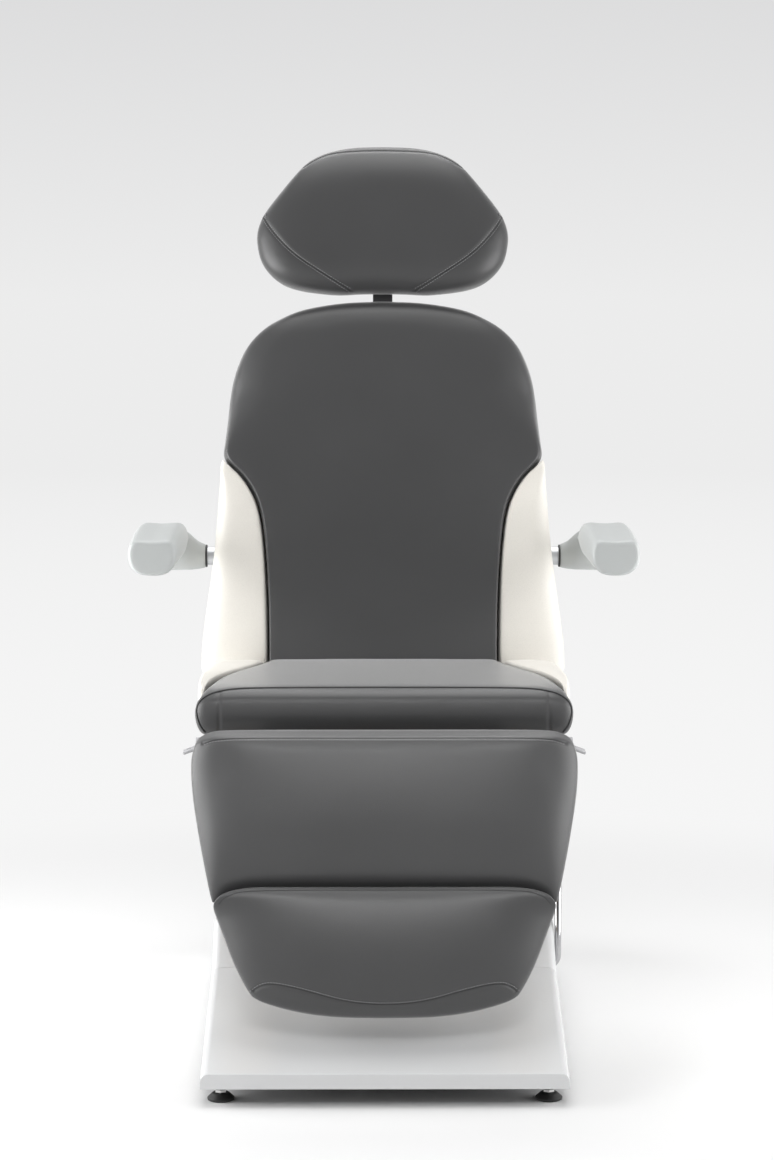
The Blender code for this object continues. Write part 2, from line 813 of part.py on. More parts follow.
def drive(name, x, hinge, swing, body_low, body_high):
    """A linear actuator under the seat: its body, and a rod with a slotted yoke."""
    z = hinge[1] - CRANK_RADIUS
    pin_y = hinge[0] + CRANK_RADIUS * math.sin(swing / 2)
    body = rod(
        name + "_actuator", DRIVE_RADIUS, (x, body_low, z), (x, body_high, z), "painted_steel"
    )
    inset = DRIVE_LENGTH / 4
    join(body, box(
        name + "_saddle",
        (x - DRIVE_RADIUS / 2, body_low + inset, z),
        (x + DRIVE_RADIUS / 2, body_high - inset, CROSS_LOW - CLEAR),
        "painted_steel",
    ))
    towards = math.copysign(1.0, pin_y - (body_low + body_high) / 2)
    mouth = body_high if towards > 0 else body_low
    travel = 2 * CRANK_RADIUS * math.sin(swing / 2)
    inner_end = mouth - towards * (travel + YOKE)
    cut(body, rod(
        name + "_actuator_bore",
        DRIVE_ROD_RADIUS + RUN,
        (x, mouth - towards * DRIVE_LENGTH, z),
        (x, mouth + towards * YOKE, z),
        "painted_steel",
    ))
    bar = rod(name + "_rod", DRIVE_ROD_RADIUS, (x, inner_end, z), (x, pin_y, z), "plated_steel")
    rise = CRANK_RADIUS * (1 - math.cos(swing / 2))
    slot_radius = CRANK_PIN_RADIUS + YOKE_PLAY
    yoke_radius = slot_radius + YOKE_WALL
    slot_ends = ((pin_y, z), (pin_y, z + rise))
    half = YOKE / 2
    yoke = link(name + "_yoke", *slot_ends, yoke_radius, x - half, x + half, "plated_steel")
    slot = link(name + "_slot", *slot_ends, slot_radius, x - YOKE, x + YOKE, "plated_steel")
    join(bar, yoke)
    cut(bar, slot)


def crank(name, x, hinge, swing):
    """Crank plate and pin that stand in a drive's yoke."""
    pin_y = hinge[0] + CRANK_RADIUS * math.sin(swing / 2)
    pin_z = hinge[1] - CRANK_RADIUS * math.cos(swing / 2)
    outward = math.copysign(1.0, x)
    near = x + outward * (YOKE / 2 + RUN)
    far = near + outward * CRANK_PLATE
    plate = link(
        name + "_crank",
        hinge,
        (pin_y, pin_z),
        CRANK_EYE_RADIUS,
        min(near, far),
        max(near, far),
        "painted_steel",
    )
    pin = rod(
        name + "_crank_pin",
        CRANK_PIN_RADIUS,
        (x - outward * YOKE, pin_y, pin_z),
        (far - outward * CRANK_PLATE / 4, pin_y, pin_z),
        "painted_steel",
        sides=16,
    )
    return plate, pin


def seat_grey_half(y):
    """Half width of the grey seat panel, which narrows towards the back."""
    share = min(max((SEAT_REAR - y) / (SEAT_REAR - SEAT_FRONT - SEAT_PLAIN), 0.0), 1.0)
    return mix(SEAT_REAR_INNER / 2, SEAT_WIDTH / 2, share**SEAT_NARROWING)


def seat_outer_half(y):
    share = (y - SEAT_FRONT) / (SEAT_REAR - SEAT_FRONT)
    return mix(SEAT_WIDTH, SEAT_REAR_WIDTH, share) / 2


def seat_pads():
    """The seat board, the grey seat cushion and its two cream corners."""
    half = SEAT_WIDTH / 2 - 3 * BOARD
    box(
        "seat_board",
        (-half, RAIL_FRONT + BOARD, SEAT_BOARD_HIGH - BOARD),
        (half, RAIL_REAR - BOARD, SEAT_BOARD_HIGH),
        "plywood",
    )
    flat = pivot("seat_flat", (0, 0, SEAT_CUSHION_LOW), math.pi / 2)

    def plan(a, c):
        y = mix(SEAT_FRONT, SEAT_REAR, (c + 1) / 2)
        return a * seat_grey_half(y), y

    pad(
        "seat_cushion", plan, 0.0, SEAT_THICKNESS, CUSHION_CROWN, SEAT_ROLL, 4,
        "grey_leather", flat,
    )
    corner_front = SEAT_FRONT + SEAT_CORNER_START
    for name, side in (("left", -1), ("right", 1)):

        def corner(a, c, side=side):
            y = mix(corner_front, SEAT_REAR, (c + 1) / 2)
            inner = seat_grey_half(y) + SEAM_GAP
            return side * mix(inner, seat_outer_half(y), (a + 1) / 2), y

        pad(
            "seat_corner_" + name, corner, 0.0, SEAT_THICKNESS - CREAM_DROP, CREAM_CROWN,
            CREAM_ROLL, 2, "cream_leather", flat,
        )


# Back: frame, board, cushions, shell, armrests

CUSHION_REAR = EYE_RADIUS + BOARD + 2 * CLEAR


def rails(name, x, low, high, parent):
    """A pair of upright rails as deep as the hinge eyes."""
    made = []
    for side in (-1, 1):
        middle = side * x
        low_corner = (middle - RAIL_WIDTH / 2, -EYE_RADIUS, low)
        high_corner = (middle + RAIL_WIDTH / 2, EYE_RADIUS, high)
        made.append(box(f"{name}_{side + 1}", low_corner, high_corner, "painted_steel", parent))
    return made


def sleeve(name, parent):
    """The tube that turns on a hinge shaft, between the seat frame's lugs."""
    reach = SEAT_RAIL_X - SEAT_LUG / 2 - RUN
    return rod(name, EYE_RADIUS, (-reach, 0, 0), (reach, 0, 0), "painted_steel", parent)


def cross_bar(name, low, high, reach, parent):
    depth = EYE_RADIUS - RUN
    return box(name, (-reach, -depth, low), (reach, depth, high), "painted_steel", parent)


def back_outer_half(z):
    share = (z - BACK_LOW) / (BACK_ARCH_BASE - BACK_LOW)
    return mix(BACK_LOW_WIDTH, BACK_ARCH_WIDTH, share) / 2


def back_grey_half(z):
    """Half width of the grey panel: full above the cream panels, narrow beside them."""
    share = min(max((z - PANEL_CURVE_LOW) / (PANEL_TOP - PANEL_CURVE_LOW), 0.0), 1.0)
    swing = 1 - math.sqrt(1 - share * share)
    return mix(PANEL_INNER_WIDTH / 2, back_outer_half(z), swing)


def back_top(x):
    half = BACK_ARCH_WIDTH / 2
    return BACK_ARCH_BASE + (BACK_TOP - BACK_ARCH_BASE) * arch(x, half, BACK_ARCH_POWER)


STEM_LENGTH = HEAD_HINGE - GUIDE_LOW + HEAD_TRAVEL + RAIL_WIDTH


def back_frame(back):
    """Hinge sleeve, two rails, the bar that holds the stem, and the drive crank."""
    frame = sleeve("back_frame", back)
    join(frame, *rails("back_rail", INNER_RAIL_X, 0.0, GUIDE_HIGH, back))
    join(frame, cross_bar("back_bar", GUIDE_LOW, GUIDE_LOW + RAIL_WIDTH, INNER_RAIL_X, back))
    join(frame, *crank("back", DRIVE_X, BACK_HINGE, BACK_RANGE))
    cut(frame, stem_space("stem_hole", back), shaft_bore("back_sleeve_bore", BACK_HINGE, RUN))


def stem_space(name, parent):
    """The sliding fit around the headrest stem."""
    half = STEM_WIDTH / 2 + RUN
    depth = STEM_DEPTH / 2 + RUN
    low = (-half, -depth, GUIDE_LOW - RAIL_WIDTH)
    return box(name, low, (half, depth, GUIDE_HIGH + RAIL_WIDTH), "painted_steel", parent)


def back_pads(back):
    """Board, grey cushion, two cream side panels and the domed rear shell."""
    half = PANEL_INNER_WIDTH / 2 + RAIL_WIDTH
    box(
        "back_board",
        (-half, -EYE_RADIUS - CLEAR - BOARD, EYE_RADIUS),
        (half, -EYE_RADIUS - CLEAR, BACK_ARCH_BASE),
        "plywood",
        back,
    )

    def plan(a, c):
        level = mix(BACK_LOW, BACK_ARCH_BASE, (c + 1) / 2)
        x = math.sin(a * math.pi / 2) * back_grey_half(level)
        return x, mix(BACK_LOW, back_top(x), (c + 1) / 2)

    pad(
        "back_cushion", plan, CUSHION_REAR, BACK_FACE, CUSHION_CROWN, CUSHION_ROLL, 5,
        "grey_leather", back,
    )
    for name, side in (("left", -1), ("right", 1)):

        def panel(a, c, side=side):
            z = mix(BACK_LOW, PANEL_TOP - PANEL_SHORT, (c + 1) / 2)
            inner = back_grey_half(z) + SEAM_GAP
            return side * mix(inner, back_outer_half(z), (a + 1) / 2), z

        pad(
            "back_panel_" + name, panel, CUSHION_REAR, BACK_FACE - CREAM_DROP, CREAM_CROWN,
            CREAM_ROLL, 2, "cream_leather", back,
        )

    def shell_plan(a, c):
        level = mix(BACK_LOW, BACK_ARCH_BASE, (c + 1) / 2)
        x = math.sin(a * math.pi / 2) * (back_outer_half(level) - RAIL_WIDTH)
        return x, mix(2 * RAIL_WIDTH, back_top(x) - 2 * RAIL_WIDTH, (c + 1) / 2)

    shell = pad(
        "back_shell", shell_plan, -SHELL_GAP, -SHELL_GAP - SHELL_THICKNESS, -SHELL_CROWN,
        CREAM_ROLL, 2, "dark_plastic", back,
    )
    for name, side in (("left", -1), ("right", 1)):
        middle = side * INNER_RAIL_X
        rib = box(
            "shell_rib_" + name,
            (middle - RAIL_WIDTH / 3, EYE_RADIUS + CLEAR, 4 * RAIL_WIDTH),
            (middle + RAIL_WIDTH / 3, SHELL_GAP + SHELL_THICKNESS / 2, GUIDE_LOW - RAIL_WIDTH),
            "dark_plastic",
            back,
        )
        join(shell, rib)


def stem_guide(back):
    half = STEM_WIDTH / 2 + RAIL_WIDTH / 2
    guide = box(
        "stem_guide",
        (-half, -EYE_RADIUS, GUIDE_LOW + RAIL_WIDTH + CLEAR),
        (half, EYE_RADIUS, GUIDE_HIGH),
        "dark_plastic",
        back,
    )
    cut(guide, stem_space("stem_guide_hole", back))


def back_point(behind, along):
    """World (y, z) of a point behind the hinge line and along the back."""
    y = BACK_HINGE[0] + behind * math.cos(BACK_LEAN) + along * math.sin(BACK_LEAN)
    z = BACK_HINGE[1] - behind * math.sin(BACK_LEAN) + along * math.cos(BACK_LEAN)
    return y, z


def armrests():
    """Each side: a tube on the back frame, a collar, and the moulded armrest on it."""
    axis_y, axis_z = back_point(ARM_BEHIND, ARM_ALONG)
    root = INNER_RAIL_X + RAIL_WIDTH / 2 + CLEAR
    tip = ARM_INNER_X + ARM_WIDTH / 6
    for name, side in (("left", -1), ("right", 1)):

        def across(x):
            return (side * x, axis_y, axis_z)

        rod("armrest_tube_" + name, ARM_TUBE_RADIUS, across(root), across(tip), "aluminium")
        collar_in = ARM_HUB_X - RUN - COLLAR
        collar = rod(
            "armrest_collar_" + name,
            COLLAR_RADIUS,
            across(collar_in),
            across(ARM_HUB_X - RUN),
            "dark_plastic",
        )
        bore = ARM_TUBE_RADIUS + CLEAR
        cut(collar, rod("collar_bore_" + name, bore, across(root), across(tip), "dark_plastic"))
        axis = pivot(f"armrest_{name}_pivot", (0, axis_y, axis_z))
        low = ARM_TOP - ARM_DEPTH - axis_z
        flat = pivot(f"armrest_{name}_flat", (0, 0, low), math.pi / 2, axis)
        middle = ARM_INNER_X + ARM_WIDTH / 2

        def plan(a, c):
            y = mix(ARM_FRONT - axis_y, ARM_REAR_PAST, (c + 1) / 2)
            return side * (middle + a * ARM_WIDTH / 2 * (1 - ARM_TAPER * c * c)), y

        arm = pad(
            "armrest_" + name, plan, 0.0, ARM_DEPTH, ARM_CROWN, ARM_ROLL, 3, "arm_plastic", flat
        )
        join(arm, rod(
            "armrest_hub_" + name,
            ARM_HUB_RADIUS,
            across(ARM_HUB_X),
            across(middle),
            "arm_plastic",
            sides=28,
            end_radius=ARM_DEPTH / 2,
        ))
        bore = ARM_TUBE_RADIUS + RUN
        deep = across(tip + RUN)
        cut(arm, rod("hub_bore_" + name, bore, across(root), deep, "arm_plastic"))


# Headrest


def head_plan(a, c):
    """The headrest's outline: wide and low, with sloping shoulders."""
    half = HEAD_WIDTH / 2
    x = half * math.sin(HEAD_SPREAD * a * math.pi / 2)
    low = HEAD_WIDEST - (HEAD_WIDEST - HEAD_LOW) * arch(x, half, HEAD_LOW_POWER)
    high = HEAD_WIDEST + (HEAD_TOP - HEAD_WIDEST) * arch(x, half, HEAD_TOP_POWER)
    return x / math.sin(HEAD_SPREAD * math.pi / 2), mix(low, high, (c + 1) / 2)


def headrest(back):
    """Stem with its eye and pin, bracket with ears, and the cushion."""
    tilt = pivot("head_pivot", (0, 0, HEAD_HINGE), parent=back)
    half = STEM_WIDTH / 2
    depth = STEM_DEPTH / 2
    stem = box(
        "head_stem", (-half, -depth, -STEM_LENGTH), (half, depth, 0), "painted_steel", tilt
    )
    reach = half + 2 * HEAD_EAR
    join(
        stem,
        rod("stem_eye", EYE_RADIUS, (-half, 0, 0), (half, 0, 0), "painted_steel", tilt),
        rod("stem_pin", SHAFT_RADIUS, (-reach, 0, 0), (reach, 0, 0), "painted_steel", tilt),
    )
    board_rear = -EYE_RADIUS - CLEAR
    side = HEAD_WIDTH / 3
    bracket = box(
        "head_bracket",
        (-side, board_rear - BOARD, -2 * RAIL_WIDTH),
        (side, board_rear, 5 * RAIL_WIDTH),
        "painted_steel",
        tilt,
    )
    ear_x = half + RUN + HEAD_EAR / 2
    inward = -BOARD + CLEAR
    join(bracket, *ears(
        "head_ear", (-ear_x, ear_x), HEAD_EAR, "painted_steel", (inward, 0), (0, 0), EYE_RADIUS, tilt
    ))
    wide = 2 * reach
    cut(bracket, rod(
        "head_ear_bore", SHAFT_RADIUS + RUN, (-wide, 0, 0), (wide, 0, 0), "painted_steel", tilt
    ))
    pad(
        "head_cushion", head_plan, CUSHION_REAR, HEAD_FACE, HEAD_CROWN, HEAD_ROLL, 4,
        "grey_leather", back,
    )


# Leg rest and its release tabs

FOOT_BAR_TOP = GUIDE_BARS[-1] + GUIDE_BAR + FOOT_EXTENSION


def foot_bars(name, low, high, gap, leg):
    """The two sliding bars of the foot pad, or the room around them."""
    made = []
    for side in (-1, 1):
        middle = side * FOOT_BAR_X
        half = FOOT_BAR / 2 + gap
        low_corner = (middle - half, -EYE_RADIUS - gap, low)
        high_corner = (middle + half, FOOT_BAR - EYE_RADIUS + gap, high)
        made.append(box(f"{name}_{side + 1}", low_corner, high_corner, "plated_steel", leg))
    return made


def leg_frame(leg):
    frame = sleeve("leg_frame", leg)
    rail_low = GUIDE_BARS[-1] - GUIDE_BAR
    join(frame, *rails("leg_rail", INNER_RAIL_X, rail_low, 0.0, leg))
    for index, middle in enumerate(GUIDE_BARS):
        low = middle - GUIDE_BAR / 2
        join(frame, cross_bar(f"guide_bar_{index}", low, low + GUIDE_BAR, INNER_RAIL_X, leg))
    join(frame, *crank("leg", -DRIVE_X, LEG_HINGE, LEG_RANGE))
    room = foot_bars("foot_bar_room", FOOT_END, FOOT_BAR_TOP, RUN, leg)
    cut(frame, *room, shaft_bore("leg_sleeve_bore", LEG_HINGE, RUN))


def board(name, half, low, high, leg):
    front = -EYE_RADIUS - CLEAR - BOARD
    box(name, (-half, front, low), (half, front + BOARD, high), "plywood", leg)


def leg_pads(leg):
    """Leg pad and foot pad, each on its board, and the sliding foot frame."""
    inset = 2 * RAIL_WIDTH
    board("leg_board", LEG_LOW_WIDTH / 2 - RAIL_WIDTH, LEG_LOW + BOARD, -EYE_RADIUS, leg)
    foot_top = LEG_LOW - FOOT_GAP
    board("foot_board", FOOT_END_WIDTH / 2 - inset, FOOT_CORNER, foot_top - BOARD, leg)
    bars = foot_bars("foot_bar", FOOT_CORNER, FOOT_BAR_TOP, 0.0, leg)
    frame = box(
        "foot_frame",
        (-FOOT_BAR_X, -EYE_RADIUS, FOOT_CORNER),
        (FOOT_BAR_X, FOOT_BAR - EYE_RADIUS, FOOT_CORNER + RAIL_WIDTH),
        "plated_steel",
        leg,
    )
    join(frame, *bars)

    def leg_plan(a, c):
        share = (c + 1) / 2
        bulge = LEG_BULGE * math.sin(math.pi * share)
        half = mix(LEG_LOW_WIDTH, LEG_TOP_WIDTH, share) / 2 + bulge
        return a * half, mix(LEG_LOW, LEG_TOP, share)

    def foot_plan(a, c):
        share = (c + 1) / 2
        half = mix(FOOT_END_WIDTH, LEG_LOW_WIDTH, share) / 2
        x = a * half
        end = mix(FOOT_END, FOOT_CORNER, (2 * x / FOOT_END_WIDTH) ** 2)
        return x, mix(min(end, FOOT_CORNER), foot_top, share)

    for name, plan in (("leg_cushion", leg_plan), ("foot_cushion", foot_plan)):
        pad(
            name, plan, CUSHION_REAR, LEG_FACE, CUSHION_CROWN, CUSHION_ROLL, 3,
            "grey_leather", leg,
        )


def release_tabs():
    """A small lever on each end of the leg hinge shaft."""
    hub_end = SEAT_WIDTH / 2 - TAB_HUB / 4
    hub_start = hub_end - TAB_HUB
    for name, side in (("left", -1), ("right", 1)):
        axis = pivot(f"release_tab_{name}_pivot", (0, *LEG_HINGE))
        tab = rod(
            "release_tab_" + name,
            TAB_HUB_RADIUS,
            (side * hub_start, 0, 0),
            (side * hub_end, 0, 0),
            "tab_plastic",
            axis,
        )
        inner = hub_start + TAB_HUB / 2
        ends = sorted((side * inner, side * TAB_X))
        blade = box(
            "tab_blade_" + name,
            (ends[0], -TAB_LENGTH / 2, -TAB_HUB_RADIUS + TAB_BLADE),
            (ends[1], TAB_LENGTH / 2, -TAB_HUB_RADIUS + 2 * TAB_BLADE),
            "tab_plastic",
            axis,
            edge=TAB_BLADE / 3,
        )
        blade.rotation_euler = (0, side * TAB_SLANT, 0)
        join(tab, blade)
        cut(tab, shaft_bore("tab_bore_" + name, LEG_HINGE, RUN))


def main():
    base_plate()
    hoods()
    power_inlet()
    feet()
    side_lever()
    column()
    tilt_head()
    seat_frame()
    shafts()
    drive("back", DRIVE_X, BACK_HINGE, BACK_RANGE, -DRIVE_LENGTH / 2, DRIVE_LENGTH / 2)
    drive("leg", -DRIVE_X, LEG_HINGE, LEG_RANGE, -DRIVE_LENGTH, 0.0)
    seat_pads()
    back = pivot("back_pivot", (0, *BACK_HINGE), BACK_LEAN)
    back_frame(back)
    back_pads(back)
    stem_guide(back)
    armrests()
    headrest(back)
    leg = pivot("leg_pivot", (0, *LEG_HINGE), LEG_LEAN)
    leg_frame(leg)
    leg_pads(leg)
    release_tabs()


main()
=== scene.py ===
# %% [markdown]
# # A treatment couch, dressed
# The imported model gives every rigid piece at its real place. This lesson dresses it: the pads get
# seams and a sewn cover, the moulded pieces get soft edges, and each surface gets its own finish.
# Every new piece is made in metres in the same frame, and rides on the body that carries it.

# %% Load the frame
import json
import math
from contextlib import contextmanager

import bmesh
import bpy
import numpy as np
from mathutils import Matrix, Vector
from mathutils.bvhtree import BVHTree


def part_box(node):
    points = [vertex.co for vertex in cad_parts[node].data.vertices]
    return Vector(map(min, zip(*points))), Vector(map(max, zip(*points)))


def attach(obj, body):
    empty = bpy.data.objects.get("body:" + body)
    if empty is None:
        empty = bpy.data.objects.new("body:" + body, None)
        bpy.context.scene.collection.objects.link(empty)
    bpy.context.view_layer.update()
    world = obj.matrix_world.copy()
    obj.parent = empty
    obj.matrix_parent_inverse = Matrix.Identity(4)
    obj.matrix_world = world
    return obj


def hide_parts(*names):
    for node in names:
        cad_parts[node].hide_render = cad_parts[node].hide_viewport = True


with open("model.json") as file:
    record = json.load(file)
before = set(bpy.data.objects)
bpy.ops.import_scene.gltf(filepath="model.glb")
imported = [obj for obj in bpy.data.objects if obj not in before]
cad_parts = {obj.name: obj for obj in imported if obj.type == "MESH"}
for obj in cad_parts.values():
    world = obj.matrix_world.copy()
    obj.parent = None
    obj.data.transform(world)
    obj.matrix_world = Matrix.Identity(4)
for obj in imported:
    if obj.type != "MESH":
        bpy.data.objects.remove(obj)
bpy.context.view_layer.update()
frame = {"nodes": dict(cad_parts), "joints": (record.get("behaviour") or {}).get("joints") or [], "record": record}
nodes = frame["nodes"]
hinge_at = {joint["name"]: joint.get("pos_m") for joint in frame["joints"]}
scene = bpy.context.scene
scene.view_settings.view_transform = "Standard"
SIDES = (("left", -1), ("right", 1))
bpy.ops.object.select_all(action="DESELECT")

# %% [markdown]
# ## Camera
# The couch was taken from the foot end with a long lens, from just below the headrest's height and
# looking slightly down. A long lens keeps the upright edges parallel. The camera stands a hair to
# the left of the middle, so the near base shifts a little to the right of the far headrest.

# %% Camera
LENS = 85.0
LONG_SIDE = 36.0
CAMERA_AT = (-0.020, -4.81, 1.29)
LOOKS_DOWN = 5.84
LOOKS_RIGHT = 0.31
camera_data = bpy.data.cameras.new("camera")
camera_data.sensor_fit = "VERTICAL"
camera_data.sensor_height = LONG_SIDE
camera_data.lens = LENS
camera = bpy.data.objects.new("camera", camera_data)
camera.location = CAMERA_AT
camera.rotation_euler = (math.radians(90 - LOOKS_DOWN), 0, math.radians(-LOOKS_RIGHT))
scene.collection.objects.link(camera)
scene.camera = camera
print("camera at", tuple(camera.location))

# %% [markdown]
# ## Studio
# A pale sheet of paper lies under the couch and runs on to the horizon. A wide box of light hangs
# above the couch and a smaller one behind it. A large one stands close at either side: that leaves
# the fronts of the pads dark and draws a pale sheen along their rolled edges. A weak, narrow one in
# front lifts the leg rest a little. Near the couch the paper is lit and keeps the shadow. Further
# away it fades to a plain pale tone, which only the lens and the gloss of the pieces see.

# %% Floor and backdrop
def select_only(obj):
    bpy.ops.object.select_all(action="DESELECT")
    obj.select_set(True)
    bpy.context.view_layer.objects.active = obj


@contextmanager
def editing(obj):
    """Edit mode on one object, with all of its mesh selected."""
    select_only(obj)
    bpy.ops.object.mode_set(mode="EDIT")
    bpy.ops.mesh.select_all(action="SELECT")
    yield
    bpy.ops.object.mode_set(mode="OBJECT")


def apply_modifier(obj, kind, **settings):
    """Adds one modifier with these settings and applies it."""
    select_only(obj)
    modifier = obj.modifiers.new(kind.lower(), kind)
    for name, value in settings.items():
        setattr(modifier, name, value)
    bpy.ops.object.modifier_apply(modifier=modifier.name)


def node(tree, kind, links=(), **settings):
    """Adds a shader node, sets its properties, and wires (socket, source) pairs into it."""
    made = tree.nodes.new("ShaderNode" + kind)
    for name, value in settings.items():
        setattr(made, name, value)
    for socket, source in links:
        if isinstance(source, (int, float, tuple)):
            made.inputs[socket].default_value = source
        else:
            tree.links.new(source, made.inputs[socket])
    return made


def combined(tree, operation, first, second):
    return node(tree, "Math", [(0, first), (1, second)], operation=operation).outputs[0]


def graded(tree, share, start, end):
    """A colour between two colours."""
    mixed = node(tree, "Mix", [("Factor", share), (6, start), (7, end)], data_type="RGBA")
    return mixed.outputs[2]


def seen_rays(tree):
    """1 for what the lens, a gloss or a glass shows, 0 for plain light."""
    rays = node(tree, "LightPath").outputs
    first = combined(tree, "MAXIMUM", rays["Is Camera Ray"], rays["Is Glossy Ray"])
    return combined(tree, "MAXIMUM", first, rays["Is Transmission Ray"])


FLOOR_RADIUS = 40.0
INNER_FLOOR = 6.0
bpy.ops.mesh.primitive_circle_add(vertices=96, radius=FLOOR_RADIUS, fill_type="NGON")
floor = bpy.context.active_object
floor.name = "floor"
with editing(floor):
    bpy.ops.mesh.inset(thickness=FLOOR_RADIUS - INNER_FLOOR)
PAPER = (0.79, 0.79, 0.79, 1)
NEAR_PAPER = (0.918, 0.918, 0.918, 1)
FAR_PAPER = (0.84, 0.84, 0.84, 1)
PALE_TOP = (0.71, 0.71, 0.715, 1)
LIT_FLOOR = (0.75, 2.1)
PLAIN_FLOOR = (2.5, 16.0)
paper = bpy.data.materials.new("paper")
paper.use_nodes = True
tree = paper.node_tree
lit = tree.nodes["Principled BSDF"]
lit.inputs["Base Color"].default_value = PAPER
lit.inputs["Roughness"].default_value = 0.9
lit.inputs["Specular IOR Level"].default_value = 0.1
spot = node(tree, "TexCoord").outputs["Object"]
far = node(tree, "VectorMath", [(0, spot)], operation="LENGTH").outputs["Value"]
fade = node(
    tree, "MapRange", [("Value", far), ("From Min", LIT_FLOOR[0]), ("From Max", LIT_FLOOR[1])],
    interpolation_type="SMOOTHSTEP",
)
plain = combined(tree, "MULTIPLY", fade.outputs["Result"], seen_rays(tree))
away = node(
    tree, "MapRange", [("Value", far), ("From Min", PLAIN_FLOOR[0]), ("From Max", PLAIN_FLOOR[1])]
)
shade = graded(tree, away.outputs["Result"], NEAR_PAPER, FAR_PAPER)
glow = node(tree, "Emission", [("Color", shade)])
blend = node(tree, "MixShader", [("Fac", plain), (1, lit.outputs[0]), (2, glow.outputs[0])])
tree.links.new(blend.outputs[0], tree.nodes["Material Output"].inputs["Surface"])
floor.data.materials.append(paper)
print("floor faces", len(floor.data.polygons))

# %% Lamps and world
def soft_box(name, at, aim, size, watts, spread=180):
    """A rectangle of light at a place, turned to what it aims at."""
    data = bpy.data.lights.new(name, "AREA")
    data.spread = math.radians(spread)
    data.shape = "RECTANGLE"
    data.size, data.size_y = size
    data.energy = watts
    lamp = bpy.data.objects.new(name, data)
    lamp.location = at
    lamp.visible_camera = False
    lamp.rotation_euler = (Vector(aim) - Vector(at)).to_track_quat("-Z", "Y").to_euler()
    scene.collection.objects.link(lamp)


soft_box("light_above", (0, -0.3, 6.5), (0, -0.2, 0.5), (4.2, 4.2), 166)
soft_box("light_behind", (0, 2.8, 5.2), (0, -0.2, 0.6), (3.2, 1.8), 80)
soft_box("light_left", (-2.3, -0.45, 0.95), (0, -0.2, 0.65), (2.6, 1.9), 84)
soft_box("light_right", (2.3, -0.65, 0.95), (0, -0.2, 0.6), (2.2, 1.9), 54)
soft_box("light_front", (0, -1.6, 1.35), (0, -0.45, 0.42), (2.2, 0.5), 1.6, 36)
SKY_STRENGTH = 0.18
SKY_CLIMB = 0.12
world = bpy.data.worlds.new("studio")
scene.world = world
world.use_nodes = True
tree = world.node_tree
sky = tree.nodes["Background"]
sky.inputs["Color"].default_value = (1.0, 1.0, 1.0, 1)
sky.inputs["Strength"].default_value = SKY_STRENGTH
way = node(tree, "SeparateXYZ", [(0, node(tree, "TexCoord").outputs["Generated"])])
climb = node(tree, "MapRange", [("Value", way.outputs["Z"]), ("From Max", SKY_CLIMB)])
shade = graded(tree, climb.outputs["Result"], FAR_PAPER, PALE_TOP)
pale = node(tree, "Background", [("Color", shade)])
pick = node(tree, "MixShader", [("Fac", seen_rays(tree)), (1, sky.outputs[0]), (2, pale.outputs[0])])
tree.links.new(pick.outputs[0], tree.nodes["World Output"].inputs["Surface"])

# %% [markdown]
# ## Finishes
# Three effects return in several materials, so each is a node group built once: the pebbled grain
# of leatherette, the faint waviness of a moulded or painted surface, and the fine lines of drawn
# metal. A group gives only a colour, a roughness and a height. The shader stays in the material.

# %% Node groups
OUTPUTS = {"Colour": "Color", "Roughness": "Float", "Height": "Float"}


def start_group(name, values):
    """A shader group with a colour and these float inputs: (group, what it is given, place)."""
    group = bpy.data.node_groups.new(name, "ShaderNodeTree")
    sockets = group.interface
    sockets.new_socket(name="Colour", in_out="INPUT", socket_type="NodeSocketColor")
    for label, value in values.items():
        made = sockets.new_socket(name=label, in_out="INPUT", socket_type="NodeSocketFloat")
        made.default_value = value
    for label, kind in OUTPUTS.items():
        sockets.new_socket(name=label, in_out="OUTPUT", socket_type="NodeSocket" + kind)
    given = group.nodes.new("NodeGroupInput").outputs
    return group, given, node(group, "TexCoord").outputs["Object"]


def end_group(group, *results):
    """Wires the colour, the roughness and the height to the group's outputs."""
    leave = group.nodes.new("NodeGroupOutput")
    for label, source in zip(OUTPUTS, results):
        group.links.new(source, leave.inputs[label])
    return group


def shade_range(group, value, low, high):
    """Maps 0 to 1 onto low to high."""
    made = node(group, "MapRange", [("Value", value), ("To Min", low), ("To Max", high)])
    return made.outputs["Result"]


def noise(group, spot, scale, detail):
    made = node(group, "TexNoise", [("Vector", spot), ("Scale", scale), ("Detail", detail)])
    return made.outputs["Fac"]


def tone(group, colour, amount):
    """The colour made darker or lighter by an amount around 1."""
    wires = [("Factor", 1.0), (6, colour), (7, amount)]
    return node(group, "Mix", wires, data_type="RGBA", blend_type="MULTIPLY").outputs[2]


def leatherette_group():
    """Pebbles a millimetre across, with painted shade darkening the valleys between them, softened by a slow
    change in tone and gloss.
    """
    group, given, spot = start_group("leatherette", {"Grain": 900.0, "Roughness": 0.45})
    wires = [("Vector", spot), ("Scale", given["Grain"])]
    pebbles = node(group, "TexVoronoi", wires, feature="SMOOTH_F1").outputs["Distance"]
    pores = noise(group, spot, 2600.0, 3.0)
    drift = noise(group, spot, 7.0, 2.0)
    fade = shade_range(group, drift, 0.9, 1.1)
    # Painted shade: the pebbles' valleys are coloured darker and their tops a little lighter.
    painted_valley_shade = shade_range(group, pebbles, 1.04, 0.9)
    shaded = tone(group, given["Colour"], combined(group, "MULTIPLY", fade, painted_valley_shade))
    gloss = shade_range(group, drift, -0.05, 0.05)
    rough = combined(group, "ADD", given["Roughness"], gloss)
    return end_group(group, shaded, rough, combined(group, "ADD", pebbles, pores))


